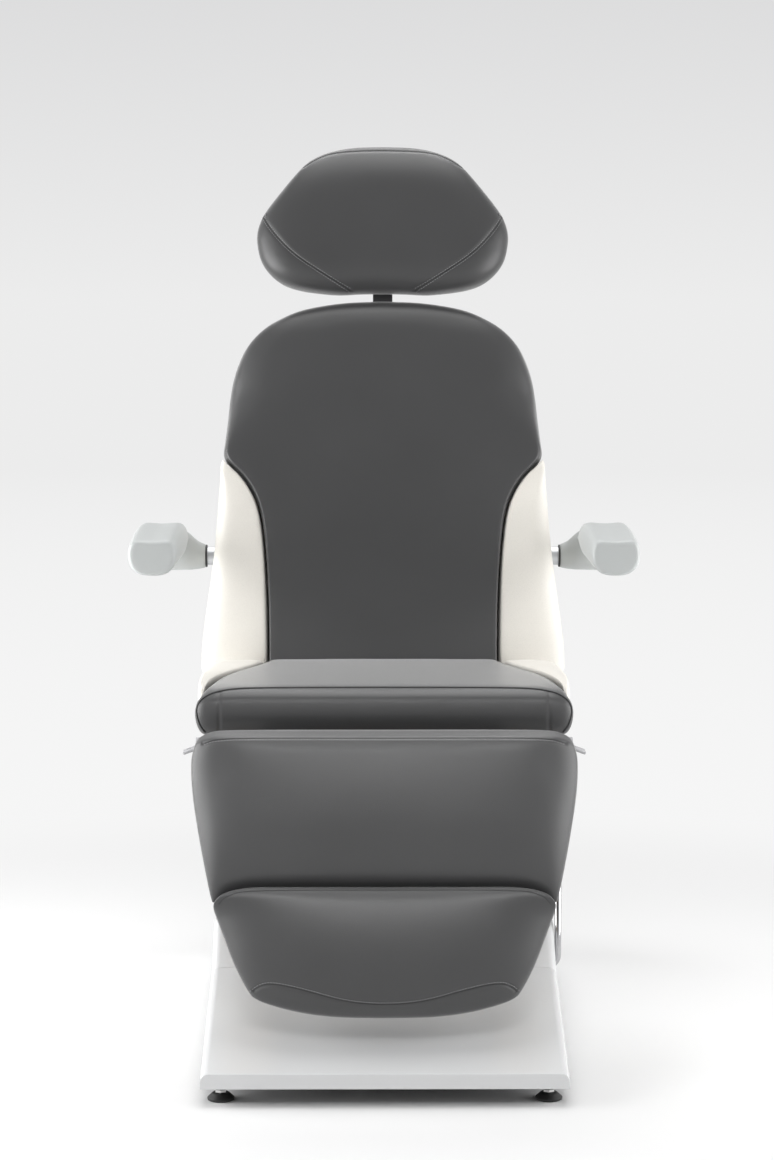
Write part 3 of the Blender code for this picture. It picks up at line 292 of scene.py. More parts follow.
def moulding_group():
    """The faint waviness of a moulded or sprayed surface, with a fine texture on it."""
    group, given, spot = start_group("moulding", {"Texture": 1800.0, "Roughness": 0.3, "Spread": 0.04})
    wave = noise(group, spot, 5.0, 2.0)
    fine = noise(group, spot, given["Texture"], 2.0)
    shaded = tone(group, given["Colour"], shade_range(group, wave, 0.97, 1.03))
    reach = combined(group, "MULTIPLY", given["Spread"], -1.0)
    gloss = shade_range(group, wave, reach, given["Spread"])
    return end_group(group, shaded, combined(group, "ADD", given["Roughness"], gloss), fine)


def drawn_metal_group():
    """Lines of the drawing die, stretched along X."""
    group, given, spot = start_group("drawn_metal", {"Lines": 900.0, "Roughness": 0.3})
    stretch = node(group, "Mapping", [("Vector", spot), ("Scale", (0.02, 1.0, 1.0))])
    lines = noise(group, stretch.outputs[0], given["Lines"], 3.0)
    shaded = tone(group, given["Colour"], shade_range(group, lines, 0.92, 1.06))
    gloss = shade_range(group, lines, -0.06, 0.06)
    return end_group(group, shaded, combined(group, "ADD", given["Roughness"], gloss), lines)


LEATHERETTE = leatherette_group()
MOULDING = moulding_group()
DRAWN_METAL = drawn_metal_group()
print("groups", [group.name for group in bpy.data.node_groups])

# %% [markdown]
# A material places one group, gives it its own values, and feeds the shader: the colour, the
# roughness, and a bump whose distance is the real height of the grain. What is the same all over,
# such as metal or sheen, is set on the shader's own socket.

# %% Materials
BUMP_STRENGTH = 0.6


def surface(name, group, colour, values, bump, **constant):
    """A material that wears one group's effect, with plain values on the shader."""
    material = bpy.data.materials.new(name)
    material.use_nodes = True
    tree = material.node_tree
    shader = tree.nodes["Principled BSDF"]
    effect = node(tree, "Group", node_tree=group)
    effect.inputs["Colour"].default_value = (*colour, 1)
    for label, value in values.items():
        effect.inputs[label].default_value = value
    height = effect.outputs["Height"]
    relief = node(tree, "Bump", [("Strength", BUMP_STRENGTH), ("Distance", bump), ("Height", height)])
    tree.links.new(effect.outputs["Colour"], shader.inputs["Base Color"])
    tree.links.new(effect.outputs["Roughness"], shader.inputs["Roughness"])
    tree.links.new(relief.outputs["Normal"], shader.inputs["Normal"])
    for label, value in constant.items():
        shader.inputs[label.replace("_", " ")].default_value = value
    return material


GREY = surface(
    "grey_leatherette", LEATHERETTE, (0.046, 0.046, 0.047), {"Grain": 950.0, "Roughness": 0.36},
    0.00018, Sheen_Weight=0.5, Sheen_Roughness=0.35,
)
CREAM = surface(
    "cream_leatherette", LEATHERETTE, (0.84, 0.81, 0.75), {"Grain": 950.0, "Roughness": 0.5},
    0.00014, Sheen_Weight=0.08,
)
# Near-black of the seat's real piping, which also colours the painted shade lines in the seams.
PIPING_AND_SEAM_SHADE = surface(
    "dark_piping_and_seam_shade", LEATHERETTE, (0.016, 0.016, 0.017), {"Grain": 1400.0, "Roughness": 0.5}, 0.0001,
)
THREAD = surface(
    "grey_thread", MOULDING, (0.27, 0.27, 0.275), {"Texture": 3200.0, "Roughness": 0.7}, 0.0002,
    Sheen_Weight=0.3,
)
HOOD = surface(
    "hood_gloss", MOULDING, (0.63, 0.635, 0.64), {"Texture": 60.0, "Roughness": 0.24, "Spread": 0.03},
    0.00005, Coat_Weight=0.35, Coat_Roughness=0.06,
)
ARM = surface(
    "arm_moulding", MOULDING, (0.51, 0.53, 0.525), {"Texture": 2200.0, "Roughness": 0.42},
    0.00006,
)
DARK = surface(
    "dark_moulding", MOULDING, (0.022, 0.022, 0.023), {"Texture": 1500.0, "Roughness": 0.5},
    0.0001,
)
TAB = surface(
    "tab_moulding", MOULDING, (0.40, 0.40, 0.41), {"Texture": 2000.0, "Roughness": 0.45}, 0.00006
)
RUBBER = surface(
    "foot_rubber", MOULDING, (0.012, 0.012, 0.012), {"Texture": 900.0, "Roughness": 0.6}, 0.00015
)
PAINT = surface(
    "frame_paint", MOULDING, (0.045, 0.045, 0.048), {"Texture": 700.0, "Roughness": 0.42}, 0.00008,
    Coat_Weight=0.1,
)
PLATED = surface(
    "plated_steel", DRAWN_METAL, (0.62, 0.62, 0.61), {"Lines": 1200.0, "Roughness": 0.3}, 0.00004,
    Metallic=1.0,
)
CHROME = surface(
    "chrome", DRAWN_METAL, (0.46, 0.46, 0.47), {"Lines": 300.0, "Roughness": 0.09}, 0.00001,
    Metallic=1.0,
)
SATIN = surface(
    "satin_aluminium", DRAWN_METAL, (0.55, 0.56, 0.57), {"Lines": 1500.0, "Roughness": 0.34},
    0.00005, Metallic=1.0,
)
PLYWOOD = surface(
    "plywood", DRAWN_METAL, (0.46, 0.33, 0.20), {"Lines": 260.0, "Roughness": 0.65}, 0.0002
)
print("materials", len(bpy.data.materials))

# %% [markdown]
# ## How a pad is made
# Each pad is foam on a board under a sewn cover. Its cover starts as a quad net over a drawn
# outline: a flat rear, a wall that bulges to the outline, and a face that is stretched over the four
# sides like a patch and rises from them like a pillow. Then the cover is blown up a little by a cloth
# simulation, held at its rear, so that it swells as a stuffed cover does. Seams are pressed in
# afterwards and the threads are laid on them.

# %% Outline helpers
SPLINE_STEPS = 14
CROWDING = 0.75
FINE_STEPS = 600


def spline_through(points, steps=SPLINE_STEPS):
    """A smooth open line through (x, z) points."""
    points = np.array(points, float)
    padded = np.vstack([2 * points[0] - points[1], points, 2 * points[-1] - points[-2]])
    line = []
    for index in range(1, len(padded) - 2):
        before, start, end, after = padded[index - 1:index + 3]
        for step in range(steps):
            t = step / steps
            line.append(0.5 * (
                2 * start + (end - before) * t
                + (2 * before - 5 * start + 4 * end - after) * t * t
                + (3 * start - before - 3 * end + after) * t ** 3
            ))
    line.append(points[-1])
    return np.array(line)


def evenly(line, count):
    """A line's points at count + 1 equal steps along it."""
    steps = np.linalg.norm(np.diff(line, axis=0), axis=1)
    along = np.concatenate([[0], np.cumsum(steps)])
    wanted = np.linspace(0, along[-1], count + 1)
    return np.stack([np.interp(wanted, along, line[:, k]) for k in range(line.shape[1])], axis=1)


def crowded_shares(count):
    """Steps from 0 to 1 that lie closer together towards both ends."""
    even = np.linspace(0, 1, count + 1)
    return even - CROWDING * np.sin(2 * math.pi * even) / (2 * math.pi)


def crowded(line, count):
    """A line's points at count + 1 steps, closer together towards its ends."""
    fine = evenly(line, FINE_STEPS)
    spots = crowded_shares(count) * FINE_STEPS
    places = np.arange(FINE_STEPS + 1)
    return np.stack([np.interp(spots, places, fine[:, k]) for k in range(line.shape[1])], axis=1)


def mirrored(line):
    return line[::-1] * np.array([-1, 1])


def both_halves(half):
    """Points from left to right, from a right half that starts in the middle."""
    return [(-x, z) for x, z in half[:0:-1]] + half


def for_side(sides, side):
    """A right-hand piece's four sides, or with side -1 those of its mirror image."""
    top, right, bottom, left = (line * np.array([side, 1]) for line in sides)
    if side > 0:
        return top, right, bottom, left
    return top[::-1], left[::-1], bottom[::-1], right[::-1]


def patch(top, right, bottom, left, across, along):
    """The four sides of a net, each at its number of steps."""
    return crowded(top, across), crowded(right, along), crowded(bottom, across), crowded(left, along)


def four_sides(half, upper, lower, across, along):
    """Top, right, bottom and left sides of an outline drawn as its right half.

    half runs from the top's middle to the bottom's middle. upper and lower are
    the places in it of the two corners.
    """
    line = spline_through(half)
    first, second = upper * SPLINE_STEPS, lower * SPLINE_STEPS
    top_right, side, low_right = line[:first + 1], line[first:second + 1], line[second:]
    top = np.vstack([mirrored(top_right)[:-1], top_right])
    bottom = np.vstack([low_right, mirrored(low_right)[1:]])
    return patch(top, side, bottom, mirrored(side), across, along)


def ease(share):
    """0 to 1 with a soft start and end."""
    share = min(max(share, 0.0), 1.0)
    return share * share * (3 - 2 * share)


def leaned(hinge, lean):
    """The place of a pad's own frame: x across, -y out of its face, z along it."""
    turn = Matrix.Rotation(-math.radians(lean), 4, "X")
    return Matrix.Translation((0, hinge[-2], hinge[-1])) @ turn


print("outline helpers ready")

# %% Net of a cover
REAR_STEPS = 4
BAND_CREASE = 10
SQUARE_IN = 0.6


def cover_net(name, sides, depths, rim, edge, place, crown=0.0, band=0.0):
    """A quad net of a pad's cover, in the frame that place gives.

    depths are its rear and face distances out of the frame. rim(x, z) gives the
    rear edge's roll and the depth at which the pad is widest, at a place of the
    outline. edge(u, v) says how squarely the face rises there from the sides and
    from the ends: 2 is a half round, and a higher number is a tighter edge.
    crown is the soft rise of the middle. band, where it isn't 0, is the share of
    the height that a flat, sloping top panel takes instead of a round top edge.
    """
    rear, face = depths
    top, right, bottom, left = sides
    ring = np.vstack([top[:-1], right[:-1], bottom[:-1], left[:-1]])
    count = len(ring)
    tangent = np.roll(ring, -1, axis=0) - np.roll(ring, 1, axis=0)
    tangent /= np.linalg.norm(tangent, axis=1)[:, None]
    inward = np.stack([tangent[:, 1], -tangent[:, 0]], axis=1)
    towards = ring.mean(axis=0) - ring
    towards /= np.linalg.norm(towards, axis=1)[:, None]
    inward = SQUARE_IN * inward + (1 - SQUARE_IN) * towards
    inward /= np.linalg.norm(inward, axis=1)[:, None]
    rims = np.array([rim(x, z) for x, z in ring])
    bm = bmesh.new()
    rows = []
    for step in range(-REAR_STEPS, 1):
        angle = math.pi / 2 * step / REAR_STEPS
        flat = ring + inward * (rims[:, :1] * (1 - math.cos(angle)))
        depth = rims[:, 1] + (rims[:, 1] - rear) * math.sin(angle)
        rows.append([bm.verts.new((x, -out, z)) for (x, z), out in zip(flat, depth)])
    spots = np.column_stack([ring[:, 0], rims[:, 1], ring[:, 1]])
    across, along = len(top) - 1, len(right) - 1
    edge_top = spots[:across + 1]
    edge_right = spots[across:across + along + 1]
    edge_bottom = spots[across + along:2 * across + along + 1][::-1]
    edge_left = np.vstack([spots[2 * across + along:], spots[:1]])[::-1]
    shares_u, shares_v = crowded_shares(across), crowded_shares(along)
    grid = []
    for j, v in enumerate(shares_v):
        row = []
        for i, u in enumerate(shares_u):
            if j == 0:
                row.append(rows[-1][i])
            elif i == across:
                row.append(rows[-1][across + j])
            elif j == along:
                row.append(rows[-1][across + along + across - i])
            elif i == 0:
                row.append(rows[-1][(count - j) % count])
            else:
                ruled = (1 - v) * edge_top[i] + v * edge_bottom[i]
                ruled = ruled + (1 - u) * edge_left[j] + u * edge_right[j]
                corners = (1 - u) * (1 - v) * edge_top[0] + u * (1 - v) * edge_top[-1]
                corners = corners + (1 - u) * v * edge_bottom[0] + u * v * edge_bottom[-1]
                x, low, z = ruled - corners
                side, end = edge(u, v)
                ends = 1 - abs(2 * v - 1) ** end
                if band and v < 0.5:
                    ends = (1 + (band / v) ** BAND_CREASE) ** (-2 / BAND_CREASE)
                rise = math.sqrt((1 - abs(2 * u - 1) ** side) * ends)
                swell_here = crown * (1 - (2 * u - 1) ** 2) * (1 - (2 * v - 1) ** 2)
                row.append(bm.verts.new((x, -(low + (face - crown - low) * rise + swell_here), z)))
        grid.append(row)
    for lower, upper in zip(rows, rows[1:]):
        for i in range(count):
            k = (i + 1) % count
            bm.faces.new((lower[i], lower[k], upper[k], upper[i]))
    for row, below in zip(grid, grid[1:]):
        for i in range(across):
            bm.faces.new((row[i], row[i + 1], below[i + 1], below[i]))
    bmesh.ops.recalc_face_normals(bm, faces=bm.faces)
    bm.verts.index_update()
    held = [vert.index for row in rows for vert in row]
    bm.transform(place)
    mesh = bpy.data.meshes.new(name)
    bm.to_mesh(mesh)
    bm.free()
    obj = bpy.data.objects.new(name, mesh)
    scene.collection.objects.link(obj)
    return obj, held


print("cover net ready")

# %% Blow up a cover
PRESSURE = 4.0
SWELL_FRAMES = 20
SWELL_EVENED = 16


def swell(obj, held, most):
    """Blows the cover up by cloth simulation, evened out; no point moves more than most."""
    rest = np.array([vert.co for vert in obj.data.vertices])
    group = obj.vertex_groups.new(name="held")
    group.add(held, 1.0, "REPLACE")
    select_only(obj)
    cloth = obj.modifiers.new("cover", "CLOTH")
    cloth.settings.quality = 5
    cloth.settings.mass = 0.25
    cloth.settings.tension_stiffness = 30
    cloth.settings.compression_stiffness = 30
    cloth.settings.bending_stiffness = 4
    cloth.settings.use_pressure = True
    cloth.settings.uniform_pressure_force = PRESSURE
    cloth.settings.vertex_group_mass = group.name
    cloth.settings.effector_weights.gravity = 0
    for step in range(1, SWELL_FRAMES + 1):
        scene.frame_set(step)
    bpy.ops.object.modifier_apply(modifier=cloth.name)
    scene.frame_set(1)
    obj.vertex_groups.clear()
    now = np.array([vert.co for vert in obj.data.vertices])
    move = now - rest
    ends = np.array([edge.vertices[:] for edge in obj.data.edges])
    near = np.bincount(ends.ravel(), minlength=len(rest))[:, None]
    for _ in range(SWELL_EVENED):
        total = np.zeros_like(move)
        np.add.at(total, ends[:, 0], move[ends[:, 1]])
        np.add.at(total, ends[:, 1], move[ends[:, 0]])
        move = 0.5 * move + 0.5 * total / near
        move[held] = 0
    size = np.linalg.norm(move, axis=1)
    limited = most * np.tanh(size / most)
    move *= (limited / np.maximum(size, 1e-9))[:, None]
    obj.data.vertices.foreach_set("co", (rest + move).ravel())
    obj.data.update()
    print(obj.name, "swelled by up to", round(float(limited.max()) * 1000, 1), "mm")


def refine_cover(obj, levels=2):
    """Subdivides a cover, then closes its flat rear."""
    apply_modifier(obj, "SUBSURF", levels=levels, render_levels=levels)
    with editing(obj):
        bpy.ops.mesh.select_all(action="DESELECT")
        bpy.ops.mesh.select_non_manifold()
        bpy.ops.mesh.edge_face_add()
        bpy.ops.mesh.select_all(action="SELECT")
        bpy.ops.mesh.normals_make_consistent(inside=False)
    bpy.ops.object.shade_smooth_by_angle(angle=math.radians(60))


def stuffed(name, sides, depths, rim, edge, place, crown, most, band=0.0):
    """A finished cover: its net, blown up by at most this much, and refined."""
    obj, held = cover_net(name, sides, depths, rim, edge, place, crown, band)
    swell(obj, held, most)
    refine_cover(obj)
    return obj


print("cloth ready")

# %% Seams and threads
SEAM_WIDTH = 0.0035
STITCH = 0.0034
STITCH_GAP = 0.0014
THREAD_RADIUS = 0.00055
THREAD_PROUD = 0.6
# Radius of the thin near-black tube laid in each seam's groove as painted shade.
SEAM_SHADE_RADIUS = 0.0007


def local_points(obj, place):
    spots = np.array([vert.co for vert in obj.data.vertices])
    back = np.array(place.inverted())
    return spots @ back[:3, :3].T + back[:3, 3]


def press_seam(obj, place, path, depth, width=SEAM_WIDTH):
    """Presses a groove along a path of (x, z) points on the front of a pad."""
    spots = local_points(obj, place)
    middle = (spots[:, 1].min() + spots[:, 1].max()) / 2
    nearest = np.full(len(spots), 1e9)
    for start, end in zip(path, path[1:]):
        span = end - start
        rel = spots[:, [0, 2]] - start
        t = np.clip(rel @ span / max(span @ span, 1e-12), 0, 1)
        nearest = np.minimum(nearest, np.linalg.norm(rel - t[:, None] * span, axis=1))
    amount = depth * np.exp(-((nearest / width) ** 2)) * (spots[:, 1] < middle)
    normals = np.array([vert.normal for vert in obj.data.vertices])
    coords = np.array([vert.co for vert in obj.data.vertices]) - normals * amount[:, None]
    obj.data.vertices.foreach_set("co", coords.ravel())
    obj.data.update()


def search_tree(obj, place):
    """A tree that finds places on an object's mesh, moved by a matrix."""
    bm = bmesh.new()
    bm.from_mesh(obj.data)
    bm.transform(place)
    tree = BVHTree.FromBMesh(bm)
    bm.free()
    return tree


def on_surface(obj, points):
    """The nearest places on an object to these points, each with the normal there."""
    tree = search_tree(obj, Matrix())
    return [tree.find_nearest(Vector(point))[:2] for point in points]


def front_points(obj, place, path):
    """Where (x, z) points of a path meet the front of a pad, and the normals there."""
    tree = search_tree(obj, place.inverted())
    spots, normals = [], []
    for x, z in path:
        spot, normal, _, _ = tree.ray_cast(Vector((x, -1, z)), Vector((0, 1, 0)))
        if spot is None:
            spot, normal, _, _ = tree.find_nearest(Vector((x, -0.08, z)))
        spots.append(place @ spot)
        normals.append(place.to_3x3() @ normal)
    return spots, normals


def tube_along(name, spots, radius, material, sides=8):
    """A round bead through points, as a mesh."""
    curve = bpy.data.curves.new(name, "CURVE")
    curve.dimensions = "3D"
    curve.bevel_depth = radius
    curve.bevel_resolution = max(sides // 4 - 1, 0)
    curve.use_fill_caps = True
    spline = curve.splines.new("POLY")
    spline.points.add(len(spots) - 1)
    for point, spot in zip(spline.points, spots):
        point.co = (*spot, 1)
    obj = bpy.data.objects.new(name, curve)
    scene.collection.objects.link(obj)
    select_only(obj)
    bpy.ops.object.convert(target="MESH")
    obj = bpy.context.active_object
    obj.name = name
    with editing(obj):
        bpy.ops.mesh.remove_doubles(threshold=0.00002)
        bpy.ops.mesh.normals_make_consistent(inside=False)
    bpy.ops.object.shade_smooth()
    obj.data.materials.append(material)
    return obj


def stitch_row(name, spots, normals):
    """Short threads end to end along points that are evenly spaced."""
    bm = bmesh.new()
    for index in range(len(spots) - 1):
        start, end = Vector(spots[index]), Vector(spots[index + 1])
        along = end - start
        share = STITCH / (STITCH + STITCH_GAP)
        middle = start + along * share / 2 + Vector(normals[index]) * THREAD_RADIUS * THREAD_PROUD
        turn = along.to_track_quat("Z", "Y").to_matrix().to_4x4()
        shape = Matrix.Diagonal((THREAD_RADIUS, THREAD_RADIUS, along.length * share / 2, 1))
        bmesh.ops.create_uvsphere(
            bm, u_segments=6, v_segments=5, radius=1.0,
            matrix=Matrix.Translation(middle) @ turn @ shape,
        )
    mesh = bpy.data.meshes.new(name)
    bm.to_mesh(mesh)
    bm.free()
    mesh.shade_smooth()
    obj = bpy.data.objects.new(name, mesh)
    scene.collection.objects.link(obj)
    obj.data.materials.append(THREAD)
    return obj


def paced(path):
    """A path's points at even steps, close to the pitch of the stitches."""
    length = np.linalg.norm(np.diff(path, axis=0), axis=1).sum()
    return evenly(path, max(int(round(length / (STITCH + STITCH_GAP))), 2))


def shifted(path, offset):
    """A path moved sideways in its plane."""
    tangent = np.gradient(path, axis=0)
    tangent /= np.linalg.norm(tangent, axis=1)[:, None]
    return path + offset * np.stack([-tangent[:, 1], tangent[:, 0]], axis=1)


def dress(obj, body, replaced=(), material=None):
    """Hangs a finished piece on its body, gives it its material, and hides the nodes it stands for."""
    if material:
        obj.data.materials.clear()
        obj.data.materials.append(material)
    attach(obj, body)
    if replaced:
        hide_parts(*replaced)
    triangles = sum(len(face.vertices) - 2 for face in obj.data.polygons)
    print(obj.name, "on", body, "triangles", triangles)


def sewn_seam(name, obj, place, path, body, depth=0.0016, rows=(0.0028,)):
    """Presses a seam into a pad, lays a thin near-black line of painted shade in its groove, and sews beside it.
    """
    line = spline_through(path, 10)
    press_seam(obj, place, evenly(line, 60), depth)
    spots, _ = front_points(obj, place, evenly(line, 120))
    # Painted shade: a thin near-black tube darkens the groove of the seam.
    dress(tube_along(name + "_painted_seam_shade", spots, SEAM_SHADE_RADIUS, PIPING_AND_SEAM_SHADE), body)
    for index, offset in enumerate(rows):
        row, normals = front_points(obj, place, paced(shifted(line, offset)))
        dress(stitch_row(f"{name}_thread_{index}", row, normals), body)


print("sewing ready")

# %% [markdown]
# ## Headrest
# The headrest is wide and low, with sloping shoulders and a rounded chin on either side. Its front
# panel runs down between two curved seams, and the two lower corners are panels of their own that
# wrap round to the rear. A third seam lies along the top edge.

# %% Headrest cushion
BACK_LEAN = 15
BACK = leaned(hinge_at["back_recline"], BACK_LEAN)
HEAD_HALF = [
    (0.0, 1.041), (0.055, 1.039), (0.100, 1.030), (0.137, 1.012), (0.163, 0.985),
    (0.194, 0.948), (0.223, 0.910), (0.235, 0.884), (0.238, 0.858), (0.228, 0.815),
    (0.200, 0.781), (0.160, 0.762), (0.090, 0.7525), (0.045, 0.754), (0.0, 0.755),
]
head_sides = four_sides(HEAD_HALF, 4, 10, 52, 30)


def head_edge(u, v):
    return 6.0, 3.6 if v < 0.5 else 6.0


head = stuffed(
    "headrest_cover", head_sides, (0.0235, 0.100), lambda x, z: (0.016, 0.046), head_edge, BACK,
    crown=0.004, most=0.0016,
)
HEAD_SEAM = [
    (0.2350, 0.914), (0.2260, 0.900), (0.2118, 0.873), (0.188, 0.842), (0.160, 0.815),
    (0.122, 0.789), (0.084, 0.767), (0.060, 0.7565),
]
for label, side in SIDES:
    path = [(side * x, z) for x, z in HEAD_SEAM]
    sewn_seam(f"headrest_seam_{label}", head, BACK, path, "head", rows=(0.0026, -0.0026))
HEAD_TOP = [(0.0, 1.0265), (0.085, 1.0235), (0.118, 1.014), (0.150, 0.994)]
sewn_seam("headrest_seam_top", head, BACK, both_halves(HEAD_TOP), "head", rows=(-0.0026,))
dress(head, "head", ["head_cushion"], GREY)

# %% [markdown]
# ## Backrest
# The grey back panel has an arched top with wide rolled edges. Below the shoulders it draws in to a
# waist, and a cream side panel fills the room on either side, almost flush with it, and falls away
# at its outer edge like a bolster.

# %% Back cushion
BACK_HALF = [
    (0.0, 0.743), (0.075, 0.7395), (0.146, 0.727), (0.190, 0.709), (0.222, 0.689),
    (0.255, 0.655), (0.275, 0.610), (0.285, 0.566), (0.291, 0.505), (0.2965, 0.452),
    (0.298, 0.437), (0.282, 0.420), (0.262, 0.401), (0.2405, 0.369), (0.2265, 0.329),
    (0.218, 0.266), (0.2125, 0.184), (0.210, 0.092), (0.209, 0.030), (0.204, -0.018),
    (0.180, -0.028), (0.0, -0.028),
]


def back_rim(x, z):
    seam = ease((0.555 - z) / 0.12)
    return 0.010 - 0.006 * seam, 0.033 + 0.017 * seam


def back_edge(u, v):
    seam = ease((v - 0.20) / 0.18)
    return 8.0 * (15.0 ** seam), 14.0 if v < 0.5 else 34.0


back_sides = four_sides(BACK_HALF, 4, 19, 50, 70)
back = stuffed(
    "back_cover", back_sides, (0.0235, 0.087), back_rim, back_edge, BACK, crown=0.004, most=0.0014
)
dress(back, "back", ["back_cushion"], GREY)

# %% Cream side panels of the back
SEAM_TIGHT = 0.0014
PANEL_INNER = [
    (0.2985, 0.4335), (0.2835, 0.4175), (0.2640, 0.3990), (0.2425, 0.3670), (0.2285, 0.3280),
    (0.2200, 0.2660), (0.2145, 0.1840), (0.2120, 0.0920), (0.2120, 0.0300),
]
PANEL_OUTER = [
    (0.3015, 0.4200), (0.3040, 0.3800), (0.3075, 0.3300), (0.3130, 0.2620), (0.3200, 0.2000),
    (0.3280, 0.1380), (0.3335, 0.0860), (0.3345, 0.0450),
]
inner = spline_through(PANEL_INNER) - np.array([SEAM_TIGHT, 0])
outer = spline_through(PANEL_OUTER)
top = spline_through([inner[0], (0.3000, 0.4320), outer[0]])
bottom = spline_through([outer[-1], (0.324, 0.026), (0.290, 0.014), (0.235, 0.012), inner[-1]])
panel_sides = patch(top, outer, bottom, inner[::-1], 20, 54)


def panel_edge(u, v):
    return (3.2 if u > 0.5 else 34.0), (40.0 if v < 0.5 else 14.0)


for label, side in SIDES:
    panel = stuffed(
        f"back_panel_cover_{label}", for_side(panel_sides, side), (0.0235, 0.0825),
        lambda x, z: (0.004, 0.046), lambda u, v: panel_edge(u if side > 0 else 1 - u, v), BACK,
        crown=0.003, most=0.0008,
    )
    dress(panel, "back", [f"back_panel_{label}"], CREAM)

# %% [markdown]
# ## Seat
# The seat lies flat. Its front is a roll, closed by a front panel whose edge is piped in black all
# along the top and round both ends. The grey top narrows to the rear, and a cream corner fills
# either side.

# %% Seat cushion
SEAT_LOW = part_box("seat_cushion")[0].z
SEAT = leaned((0.0, SEAT_LOW), 90)
SEAT_SIDE = [
    (0.2110, 0.120), (0.2195, 0.093), (0.2310, 0.055), (0.2490, 0.010), (0.2670, -0.030),
    (0.2830, -0.075), (0.2940, -0.125), (0.3005, -0.175), (0.3055, -0.215),
]
SEAT_HALF = [
    (0.0, 0.132), (0.150, 0.132), (0.198, 0.130), *SEAT_SIDE, (0.3140, -0.243),
    (0.3185, -0.259), (0.3120, -0.2725), (0.292, -0.2795), (0.245, -0.282), (0.120, -0.2835),
    (0.0, -0.284),
]


def seat_rim(x, y):
    return 0.005 + 0.013 * ease((-0.205 - y) / 0.05), 0.040


def seat_edge(u, v):
    front = ease((v - 0.86) / 0.13)
    return 60.0 * (0.25 ** front), 34.0 if v < 0.5 else 18.0


seat_sides = four_sides(SEAT_HALF, 2, 14, 50, 44)
seat = stuffed(
    "seat_cover", seat_sides, (0.0003, 0.0825), seat_rim, seat_edge, SEAT, crown=0.003, most=0.0016
)
PIPE_HALF = [
    (0.0, -0.2535, 0.642), (0.100, -0.2535, 0.642), (0.200, -0.254, 0.6405), (0.250, -0.256, 0.637),
    (0.285, -0.260, 0.629), (0.305, -0.264, 0.618), (0.3115, -0.268, 0.603), (0.309, -0.270, 0.585),
    (0.300, -0.270, 0.568),
]
PIPE = [(-x, y, z) for x, y, z in PIPE_HALF[:0:-1]] + PIPE_HALF
PIPE_RADIUS = 0.0014
PIPE_PROUD = 0.3
pipe_spots = on_surface(seat, evenly(spline_through(PIPE, 12), 180))
pipe_line = [spot + normal * PIPE_RADIUS * PIPE_PROUD for spot, normal in pipe_spots]
dress(tube_along("seat_piping", pipe_line, PIPE_RADIUS, PIPING_AND_SEAM_SHADE), "seat")
CREASE_AT = 0.276
CREASE_FROM = -0.245
CREASE_DEPTH = 0.0011
CREASE_WIDTH = 0.0032
for vert in seat.data.vertices:
    if vert.co.y < CREASE_FROM:
        away = (abs(vert.co.x) - CREASE_AT) / CREASE_WIDTH
        groove = CREASE_DEPTH * math.exp(-away ** 2)
        vert.co.y += groove * ease((CREASE_FROM - vert.co.y) / 0.02)
dress(seat, "seat", ["seat_cushion"], GREY)

# %% Cream corners of the seat
CORNER_GAP = 0.0008
CORNER_INNER = [(x + CORNER_GAP, y) for x, y in SEAT_SIDE]
CORNER_OUTER = [
    (0.3240, 0.0850), (0.3260, 0.0500), (0.3250, 0.0000), (0.3228, -0.0700), (0.3200, -0.1300),
    (0.3172, -0.1750), (0.3145, -0.2080),
]
inner = spline_through(CORNER_INNER)
outer = spline_through(CORNER_OUTER)
rear = spline_through([inner[0], (0.230, 0.1325), (0.275, 0.1310), (0.308, 0.1130), outer[0]])
tip = spline_through([outer[-1], (0.3108, -0.2165), inner[-1]])
corner_sides = patch(rear, outer, tip, inner[::-1], 20, 40)


def corner_edge(u, v):
    return (2.6 if u > 0.5 else 48.0), (30.0 if v < 0.5 else 11.0)


for label, side in SIDES:
    corner = stuffed(
        f"seat_corner_cover_{label}", for_side(corner_sides, side), (0.0003, 0.0815),
        lambda x, y: (0.004, 0.038), lambda u, v: corner_edge(u if side > 0 else 1 - u, v), SEAT,
        crown=0.003, most=0.0008,
    )
    dress(corner, "seat", [f"seat_corner_{label}"], CREAM)

# %% [markdown]
# ## Leg rest
# The leg pad hangs from the seat's front. Its upper edge rolls back to a narrow band that is sewn
# on just under the seat, and its lower edge tucks in against the foot pad. The foot pad narrows to
# its toe, where a wavy seam joins the toe panel.

# %% Leg pad
LEG_LEAN = 12
LEG = leaned(hinge_at["leg_raise"], LEG_LEAN)
LEG_HALF = [
    (0.0, 0.0240), (0.150, 0.0240), (0.258, 0.0232), (0.288, 0.0190), (0.307, 0.0075),
    (0.3160, -0.016), (0.3178, -0.045), (0.3145, -0.088), (0.306, -0.143), (0.2965, -0.194),
    (0.2890, -0.230), (0.2845, -0.2490), (0.2805, -0.2585), (0.2720, -0.2550), (0.2560, -0.2450),
    (0.2350, -0.2385), (0.2100, -0.2355), (0.150, -0.2345), (0.0, -0.2345),
]


def leg_edge(u, v):
    return 6.0, 11.0 if v < 0.5 else 2.5


LEG_BAND = 0.058
leg_sides = four_sides(LEG_HALF, 4, 12, 56, 48)
leg = stuffed(
    "leg_cover", leg_sides, (0.0235, 0.096), lambda x, z: (0.014, 0.045), leg_edge, LEG,
    crown=0.013, most=0.0014, band=LEG_BAND,
)
LEG_SEAM = [(0.0, 0.0080), (0.200, 0.0082), (0.270, 0.0065), (0.296, 0.0005)]
sewn_seam("leg_seam", leg, LEG, both_halves(LEG_SEAM), "leg", rows=(-0.0028,))
dress(leg, "leg", ["leg_cushion"], GREY)

